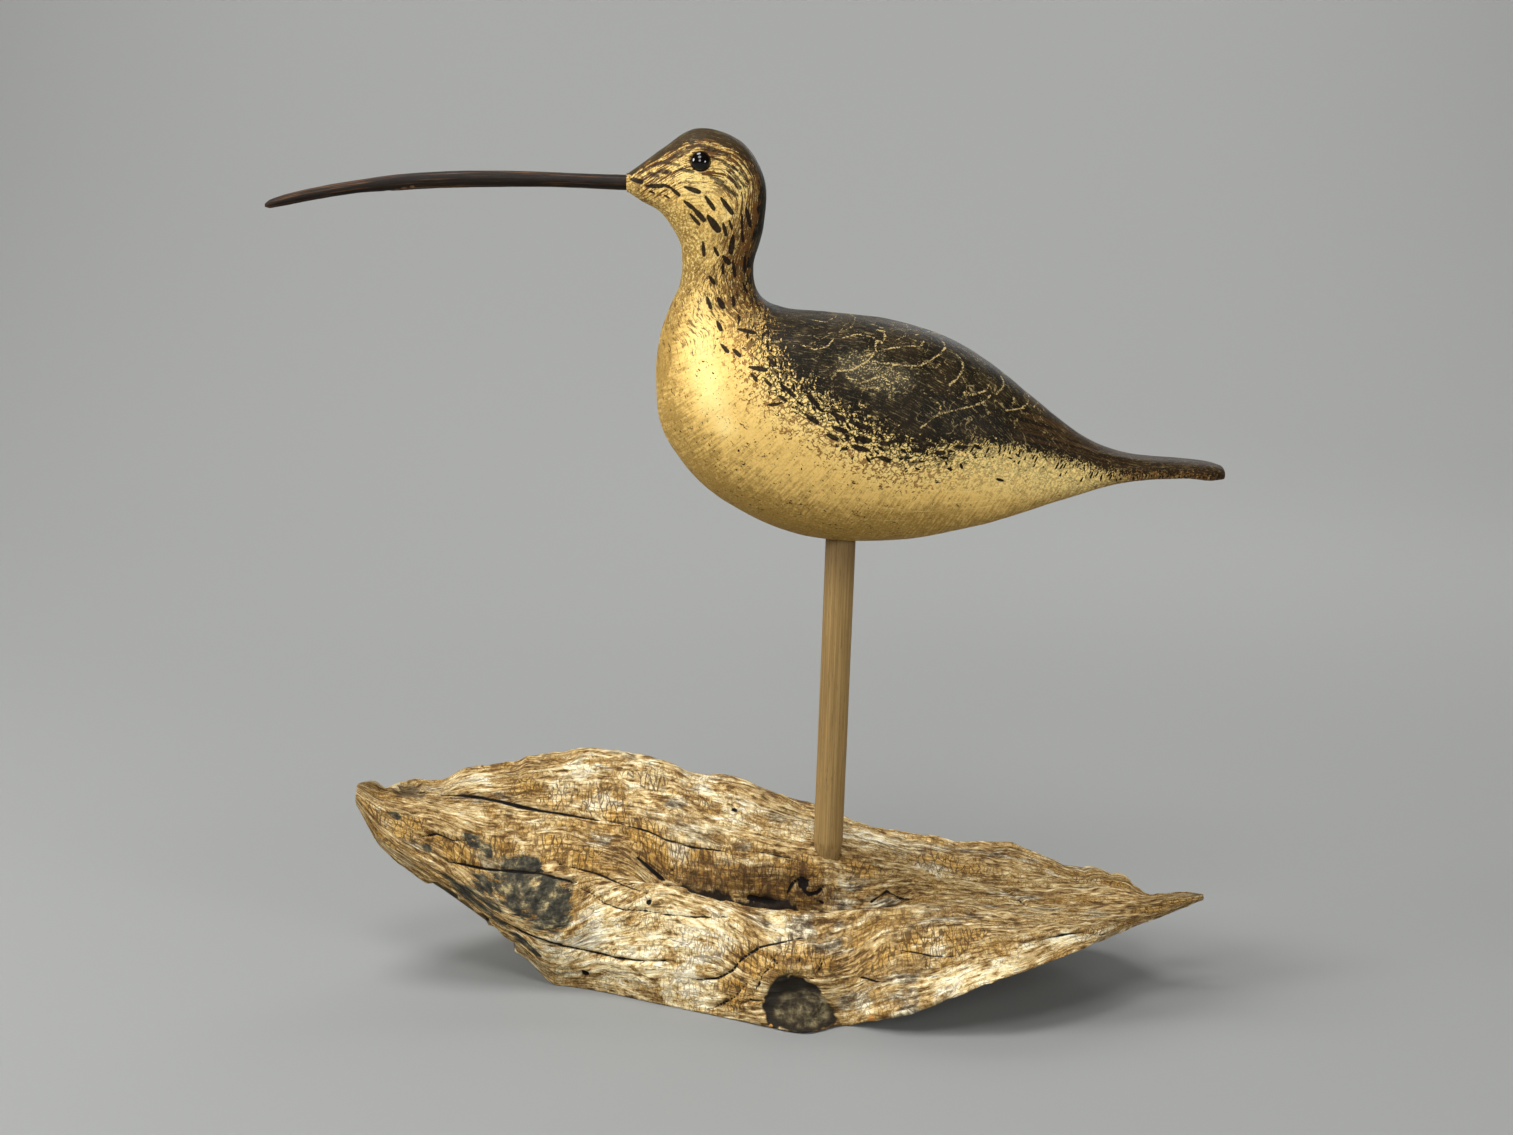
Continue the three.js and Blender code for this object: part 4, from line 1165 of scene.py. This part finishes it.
def brush_distance(strokes):
    """Distance in mm to the edge of the nearest tapered brush stroke, less than 0 inside it."""
    nearest = np.full(body.shape[:2], 3.0)
    for start, end, half_width in both_sides(strokes):
        run = end - start
        close = length(body - (start + end) / 2) < length(run) / 2 + 0.006
        share = np.clip(((body[close] - start) @ run) / (run @ run), 0, 1)
        distance = length(body[close] - start - share[:, None] * run) * 1000
        width = half_width * (0.4 + 1.9 * share - 1.45 * share**2)
        nearest[close] = np.minimum(nearest[close], distance - 1.25 * width - 0.15)
    return nearest


def lines_on_bird(lines, shift):
    """Distance in mm to the nearest line of pixels, here or on the other side, shifted a little."""
    nearest = np.full(body.shape[:2], 3.0)
    for half_width, pixels in lines:
        line = np.array([on_bird(*pixel) for pixel in pixels])
        for path in (line, (line + np.array(shift)) * OTHER_SIDE):
            nearest = np.minimum(nearest, line_distance(body, path)[0] - half_width)
    return nearest


def round_areas(areas):
    """Round areas of the photograph and their twins on the other side, strongest in the middle."""
    total = np.zeros(body.shape[:2])
    for x, y, radius in areas:
        middle = on_bird(x, y)
        for place_there in (middle, middle * OTHER_SIDE):
            total += hump(length(body - place_there), radius * 1.5 / PHOTO_FOCUS)
    return 1 - np.exp(-total)


painted_marks = {
    "strokes": brush_distance(CHEEK_STROKES + NECK_STROKES + FLANK_STROKES),
    "head_streaks": brush_distance(HEAD_STREAKS),
    "feather_edge": lines_on_bird(FEATHER_EDGES, (0.002, 0, 0.001)),
    "tool_lines": lines_on_bird(TOOL_LINES, (0.001, 0, 0.002)),
    "pale_and_highlight": round_areas(PALE_AND_HIGHLIGHT_AREAS),
    "brown_and_shade": round_areas(BROWN_AND_SHADE_AREAS),
    "sheen_area": round_areas(SHEEN_AREAS),
}
eye_radius = EYE_DIAMETER / 2
sunk_eye = SOCKET_ROUNDING * hump(from_eye - eye_radius, 0.0009)
sunk_eye = sunk_eye + SOCKET_DEPTH * between(from_eye, -1, eye_radius - 0.0006, 0.0004)
body = body - body_normal * sunk_eye[..., None]

bird = loft_object(
    "painted_bird",
    body,
    {
        "lane": np.stack([s, below_border, 40 * side], axis=-1),
        "feather": np.stack([s, b * side, 0 * s], axis=-1),
        "below_border": below_border,
        "station": stations,
        "from_eye": from_eye * 1000,
        "level": np.broadcast_to(level[None, :], b.shape),
        **painted_marks,
    },
)
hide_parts("carved_body")

CREAM = paint(218, 181, 104)
PALE_CREAM = paint(232, 208, 136)
STAIN_AND_SHADE_BROWN = paint(122, 93, 38)
GLAZE_BROWN = paint(112, 70, 32)
BACK_BLACK = paint(22, 19, 13)
BACK_BROWN = paint(38, 31, 20)
CROWN_BROWN = paint(56, 44, 27)
DASH_BROWN = paint(26, 17, 12)
STREAK_GREY = paint(62, 48, 32)
NAPE_BROWN = paint(92, 60, 28)
WEAR_AND_SHEEN_TAN = paint(190, 166, 112)
SHEEN_GREY = paint(168, 160, 136)
TAIL_BROWN = paint(56, 39, 21)
EYE_RIM = paint(30, 20, 14)

paint_material = new_material("worn_decoy_paint")
spot = place_in_mm()
lane = place_on("lane")
feather = place_on("feather")
below = value_on("below_border")
station = value_on("station")

# dabs of a stiff brush, each a few millimetres long and slanted
slant = {"Vector": lane, "Angle": math.radians(-28)}
dab_space = put("VectorRotate", slant, rotation_type="Z_AXIS")
fleck_noise = noise(dab_space, (0.2, 0.38, 1), 1, 0.4, 1.0)
fine_noise = noise(spot, 1.1, 3, 0.65)
sponge = noise(spot, 0.28, 5, 0.72)
soft_noise = noise(spot, 0.07, 3, 0.55)
brushed = noise(lane, (0.95, 0.07, 1), 4, 0.6)
fine_swing = fine_noise - 0.5
sponge_swing = sponge - 0.5

# cream, rubbed pale in places and with a painted highlight, with brown sponged and brushed into it and
# painted shade low down
pale_and_highlight_share = value_on("pale_and_highlight") + 1.3 * sponge_swing + 0.7 * fine_swing
color = tint(fade(pale_and_highlight_share, 0.15, 1.0), CREAM, PALE_CREAM)
flank_pale = fade(below, 34, 12) * fade(station, 9.0, 11.0)
color = tint(flank_pale * fade(sponge, 0.35, 0.6, 0.35, 0.9), color, PALE_CREAM)
rubbed_and_shade = 0.3 * fine_noise + 0.7 * brushed + 0.6 * sponge - 0.12
rubbed_and_shade = rubbed_and_shade + 0.2 * value_on("brown_and_shade") - 0.12 * value_on("pale_and_highlight")
# painted shade: the cream goes browner towards the underside
rubbed_and_shade = rubbed_and_shade + fade(value_on("level"), -0.25, -0.95, 0, 0.24)
color = tint(fade(rubbed_and_shade, 0.62, 1.0, 0, 0.8), color, STAIN_AND_SHADE_BROWN)
tool_share = fade(value_on("tool_lines"), 0.55, 0.2) * fade(sponge, 0.35, 0.6, 0.1, 0.55)
color = tint(tool_share, color, PALE_CREAM)

# blotches no bigger than a grain of rice, pale and brown, strongest on the head
mottle = noise(spot, 0.75, 4, 0.7)
mottle_where = calc("MAXIMUM", fade(station, 8.5, 6.0), fade(below, 38, 10, 0.2, 0.75))
color = tint(fade(mottle, 0.52, 0.6, 0, 0.75) * mottle_where, color, PALE_CREAM)
color = tint(fade(mottle, 0.47, 0.38, 0, 0.7) * mottle_where, color, STAIN_AND_SHADE_BROWN)

# a thin brown glaze, squiggles and specks under the border of the dark paint
glaze = fade(below, 12, -2, 0, 0.7) * fade(sponge, 0.45, 0.62)
color = tint(glaze * fade(station, 12.5, 10.5, 0.35, 0.85), color, GLAZE_BROWN)
tail_glaze = fade(brushed + 0.8 * fine_swing, 0.36, 0.56, 0.25, 0.95)
color = tint(fade(station, 15.3, 16.3) * tail_glaze, color, GLAZE_BROWN)
color = tint(fade(station, 17.5, 18.4, 0, 0.7), color, TAIL_BROWN)
squiggle_space = moved(lane, scaled(noise(lane, 0.5, 1, output="Color"), (3.0, 3.0, 0)))
squiggle_where = fade(noise(spot, 0.45, 1) + fade(below, 38, 6, -0.14, 0.16), 0.48, 0.53)
squiggle_where = squiggle_where * fade(below, 36, 28)
squiggle_where = squiggle_where * fade(station, 7.5, 9.5, 0.2, 0.85) * fade(station, 14.0, 12.5, 0.35, 1)
squiggle_lines = fade(cell_edges(squiggle_space, 0.42), 0.17, 0.09) * squiggle_where
color = tint(squiggle_lines, color, tint(fade(below, 10, 20), DASH_BROWN, GLAZE_BROWN))
specks = noise(lane, (0.34, 0.46, 1), 1, 0.5, 2.2)
specks = fade(specks + fade(below, 24, -2, -0.06, 0.12) + 0.4 * sponge_swing, 0.63, 0.645)
specks = specks * fade(station, 2.5, 7.0, 0.4, 1) * fade(station, 14.0, 12.5, 0.45, 1)
color = tint(specks, color, DASH_BROWN)


def brush_dabs(vector, cell, dab, share, turn=0.45):
    """Dabs of paint, by half length and half width in mm, in a share of the cells of a loose grid."""
    grid = scaled(vector, (1 / cell[0], 1 / cell[1], 0.1))
    cells = put("TexVoronoi", {"Vector": grid, "Scale": 1.0, "Randomness": 0.85})
    chance = put("SeparateColor", {0: cells.beside("Color")})
    off = scaled(moved(grid, cells.beside("Position"), "SUBTRACT"), (*cell, 0))
    off_x = put("SeparateXYZ", {0: off})
    off_y = off_x.beside("Y")
    lean = 2 * turn * (chance - 0.5)
    over = (off_x + lean * off_y) / dab[0]
    up = (off_y - lean * off_x) / dab[1]
    size = fade(chance.beside(1), 0, 1, 0.65, 1.25)
    reach = calc("SQRT", over * over + up * up) / size + 1.1 * fine_swing
    return fade(reach, 1.1, 0.9) * calc("LESS_THAN", chance.beside(2), share)


# dabs fall thickest along the border, from the shoulder back to the flank
dab_share = fade(below, 24, 2, 0, 0.9) * fade(station, 7.0, 8.5) * fade(station, 14.5, 12.5)
color = tint(brush_dabs(dab_space, (7.0, 4.0), (2.3, 0.7), dab_share), color, DASH_BROWN)
tick_share = fade(below, 10, 0, 0, 0.9) * fade(station, 11.5, 13.0)
color = tint(brush_dabs(lane, (2.1, 5.0), (0.5, 1.7), tick_share, 0.3), color, DASH_BROWN)

# streaks on the head and separate strokes on cheek, neck and flank
bristle = 1.3 * fine_swing
spotty = fade(sponge, 0.42, 0.58)
combed = noise(lane, (0.11, 0.95, 1), 4, 0.6, 0.8) + 0.35 * sponge_swing
combed = fade(combed + fade(below, 14, 0, -0.01, 0.05), 0.5, 0.52)
combed = combed * fade(station, 0.4, 1.2) * fade(station, 8.4, 6.8) * fade(below, 30, 18, 0.35, 1)
neck_streaks = noise(lane, (0.22, 1.0, 1), 3, 0.6, 1.0) + 0.35 * sponge_swing
neck_streaks = fade(neck_streaks + fade(below, 42, 0, -0.06, 0.09), 0.5, 0.53)
neck_streaks = neck_streaks * fade(station, 4.6, 5.6) * fade(station, 9.4, 8.2)
color = tint(0.85 * neck_streaks, color, tint(spotty, DASH_BROWN, NAPE_BROWN))
color = tint(combed, color, tint(spotty, STREAK_GREY, NAPE_BROWN))
streak_share = fade(value_on("head_streaks") + bristle, 0.3, -0.35, 0, 0.85)
color = tint(streak_share, color, tint(fade(sponge, 0.4, 0.6), STREAK_GREY, DASH_BROWN))
stroke_share = fade(value_on("strokes") + 0.6 * bristle, 0.15, -0.15, 0, 0.97)
color = tint(stroke_share, color, DASH_BROWN)

# near black paint over crown, nape, back and tail, dusty, with worn feather edges and a browner tail, and a
# painted sheen of grey and pale flecks on the middle of the back
torn = fade(station, 12.2, 14.0, 30, 7) * fade(station, 5.0, 7.5, 0.4, 1)
dark_edge = below + (fleck_noise - 0.5) * torn
dark_edge = dark_edge + sponge_swing * fade(station, 12.2, 14.0, 12, 7)
dark_edge = dark_edge + fine_swing * fade(station, 12.2, 14.0, 2, 22)
dark_mask = fade(dark_edge, 0.8, -0.8)
dark_paint = tint(fade(soft_noise, 0.4, 0.65), BACK_BLACK, BACK_BROWN)
dark_paint = tint(fade(station, 13.2, 15.5, 0, 0.2), dark_paint, TAIL_BROWN)
dark_paint = tint(fade(station, 5.5, 3.5, 0, 0.8), dark_paint, CROWN_BROWN)
tail_lines = fade(noise(lane, (0.012, 0.55, 1)), 0.5, 0.58) * fade(below, -1, -5, 0, 0.75)
tail_lines = tail_lines * fade(station, 13.4, 14.0) * fade(station, 16.4, 15.4, 0.25, 1)
dark_paint = tint(tail_lines, dark_paint, TAIL_BROWN)
# the painted sheen: a grey veil, pale dust and bright flecks that stand in for the reflection of the lights
painted_sheen = fade(value_on("sheen_area") + 1.6 * sponge_swing, 0.2, 0.9)
scratches = noise(feather, (0.12, 1.6, 1), 2, 0.7)
dust_and_sheen = fade(scratches, 0.54, 0.66) * fade(sponge, 0.4, 0.62)
dust_and_sheen = dust_and_sheen + fade(fine_noise, 0.6, 0.7, 0, 0.5) + fade(fine_noise, 0.5, 0.6) * (0.9 * painted_sheen)
dark_paint = tint(put("Clamp", {"Value": 0.3 * dust_and_sheen}), dark_paint, WEAR_AND_SHEEN_TAN)
sheen_veil = fade(value_on("sheen_area") + sponge_swing, 0.05, 1.0, 0, 0.1)
dark_paint = tint(sheen_veil, dark_paint, SHEEN_GREY)
sheen_flecks = fade(fine_noise + 0.6 * (scratches - 0.5) + 0.6 * sponge_swing, 0.61, 0.64)
dark_paint = tint(0.75 * sheen_flecks * painted_sheen, dark_paint, PALE_CREAM)
bent_feather = moved(feather, scaled(noise(feather, 0.09, output="Color"), (22, 14, 0)))
scale_lines = fade(cell_edges(bent_feather, (0.055, 0.085, 1), 0.8), 0.024, 0.01)
scale_lines = scale_lines * fade(fine_noise + 1.2 * sponge_swing, 0.54, 0.58)
scale_lines = scale_lines * fade(station, 8.5, 9.5) * fade(station, 15, 14)
dark_paint = tint(0.4 * scale_lines, dark_paint, WEAR_AND_SHEEN_TAN)
edge_wear = value_on("feather_edge") + 0.1 + 2.6 * fine_swing + 2.4 * sponge_swing
dark_paint = tint(0.85 * fade(edge_wear, 0.1, -0.2), dark_paint, WEAR_AND_SHEEN_TAN)
color = tint(dark_mask, color, dark_paint)
color = tint(fade(value_on("from_eye"), 5.5, 5.0), color, EYE_RIM)

shine = fade(dark_mask * fade(station, 13, 15, 0.4, 1), 0, 1, 0.5, 0.2)
roughness = fade(fine_noise, 0.35, 0.65, 0.55, 0.7) - 0.2 * dark_mask
surface = {"Base Color": color, "Roughness": roughness, "IOR": 1.16, "Specular IOR Level": shine}
feed(shader, {**surface, "Normal": bump(0.5 * fleck_noise + 0.8 * fine_noise, 0.7, 0.0004)})
bird.data.materials.append(paint_material)

# Eyes: two flattened buttons of polished black glass, 10 mm across. They sit in sockets carved in
# the sides of the head, with a thin dark rim round them.
EYE_RINGS = 48
EYE_BLACK = paint(8, 6, 5)
EYE_BROWN = paint(14, 10, 8)
glass_material = new_material("black_eye_glass")
glass = {"Roughness": 0.05, "IOR": 1.3, "Coat Weight": 0.25, "Coat Roughness": 0.02}
feed(shader, {"Base Color": tint(noise(place_in_mm(), 0.4, 1), EYE_BLACK, EYE_BROWN), **glass})
latitude = np.linspace(0.02, np.pi - 0.02, EYE_RINGS)
longitude = np.linspace(0, 2 * np.pi, 2 * EYE_RINGS, endpoint=False)
latitude, longitude = np.meshgrid(latitude, longitude, indexing="ij")
button_x = eye_radius * np.sin(latitude) * np.cos(longitude)
button_y = eye_radius * np.sin(latitude) * np.sin(longitude)
button_z = EYE_THICKNESS / 2 * np.cos(latitude)
for turn, name, node in ((-1, "left_eye_glass", "left_eye"), (1, "right_eye_glass", "right_eye")):
    tilt = math.pi / 2 + turn * EYE_TILT
    c, sn = math.cos(tilt), math.sin(tilt)
    button = np.stack([button_x, c * button_y - sn * button_z, sn * button_y + c * button_z], axis=-1)
    eye = loft_object(name, (button + eye_places[turn])[::-1])
    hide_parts(node)
    eye.data.materials.append(glass_material)

# Bill: a long thin sliver of hard wood that droops towards its tip, carved separately, let into a
# hole in the face and stained dark brown. The stain has rubbed off along its edges.
BILL_LENGTH = 0.185
BILL_RISE = 0.0078
BILL_DROOP = 0.0192
BILL_SOCKET = 0.0067
KNIFE_CUTS = 0.00016
FINE_CUTS = 0.00006
CHIP_DEPTH = 0.0006
# share of the length from the root, then height and width over the root's diameter
BILL_STATIONS = [
    [0, 1, 1], [0.15, 0.96, 0.92], [0.45, 1.1, 0.92], [0.63, 1.04, 0.86], [0.76, 0.84, 0.76],
    [0.92, 0.76, 0.66], [0.985, 0.56, 0.5], [1, 0.22, 0.22],
]
BILL_SIDES = 72
BILL_BROWN = paint(26, 19, 13)
BILL_WORN = paint(92, 62, 36)
BILL_BARE = paint(128, 88, 54)
BILL_PORE = paint(20, 12, 9)
# chips where the stain is gone, as x, y and radius in the photograph
BILL_CHIPS = [(404, 189, 1.8), (397, 190, 1.2), (388, 191, 1.8), (412, 187, 1.4)]

bill_root = bird_section(0)[0]
bill_share = 1 - (1 - np.linspace(1, 0, 420)) ** 1.3
bill_share[0] = 1
bill_high, bill_wide = smooth_through(BILL_STATIONS, bill_share).T[..., None] * BILL_ROOT / 2
bill_rise = BILL_RISE * bill_share - BILL_DROOP * bill_share**3
bill_line = bill_root + np.stack([-BILL_LENGTH * bill_share, 0 * bill_share, bill_rise], axis=-1)
bill_turn = np.linspace(0, 2 * np.pi, BILL_SIDES, endpoint=False)
ring = [0 * bill_high * bill_turn, bill_wide * np.sin(bill_turn), bill_high * np.cos(bill_turn)]
bill = bill_line[:, None] + np.stack(ring, axis=-1)
bill_angle = math.atan2(BILL_RISE, BILL_LENGTH)
inward = np.array([math.cos(bill_angle), 0, -math.sin(bill_angle)])
seated = bill[-1][None] + inward * np.linspace(0.0008, BILL_SOCKET, 8)[:, None, None]
bill = np.concatenate([bill, seated])
bill_u = bill[..., 0] * 1000
bill_v = np.broadcast_to(bill_turn[None, :], bill_u.shape)
cuts = KNIFE_CUTS * flat_noise(bill_u / 18, bill_v * 1.3, 41)
cuts = cuts + FINE_CUTS * flat_noise(bill_u / 6, bill_v * 2.5, 42)
tip_fade = np.clip((bill_u - bill_u.min()) / 6, 0, 1)
bill_view = photo_view(bill, outward(bill))
chipped = np.full(bill_u.shape, 3.0)
for x, y, radius in BILL_CHIPS:
    middle = bill[seen_at(bill_view, x, y)]
    chipped = np.minimum(chipped, length((bill - middle) * (0.6, 1, 1)) * 1000 / (0.55 * radius))
cuts = cuts - CHIP_DEPTH * np.clip(1.3 - chipped, 0, 1)
bill = bill + outward(bill) * ((cuts - 0.0001) * tip_fade)[..., None]
bill_lay = np.stack([bill_u, 4 * np.abs(bill_v - np.pi), 0 * bill_u], axis=-1)
bill_marks = {"edge": np.abs(np.cos(bill_v)), "grain": bill_lay, "chipped": chipped}
beak = loft_object("long_bill", bill, bill_marks)
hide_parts("bill")

bill_material = new_material("stained_bill")
lay = place_on("grain")
streaks, pores = wood_grain(lay, 45, 0.8, 6, 0.3)
worn = 0.6 * streaks + 0.2 * value_on("edge") + 0.6 * noise(lay, (0.05, 0.3, 0.3), 3)
color = tint(fade(worn, 0.76, 1.06), BILL_BROWN, BILL_WORN)
color = tint(fade(value_on("chipped"), 1.2, 0.6, 0, 0.7), color, BILL_BARE)
color = tint(0.6 * pores, color, BILL_PORE)
surface = {"Base Color": color, "Roughness": fade(streaks, 0, 1, 0.4, 0.52), "IOR": 1.22}
feed(shader, {**surface, "Normal": bump(streaks - pores, 0.5, 0.0002)})
beak.data.materials.append(bill_material)
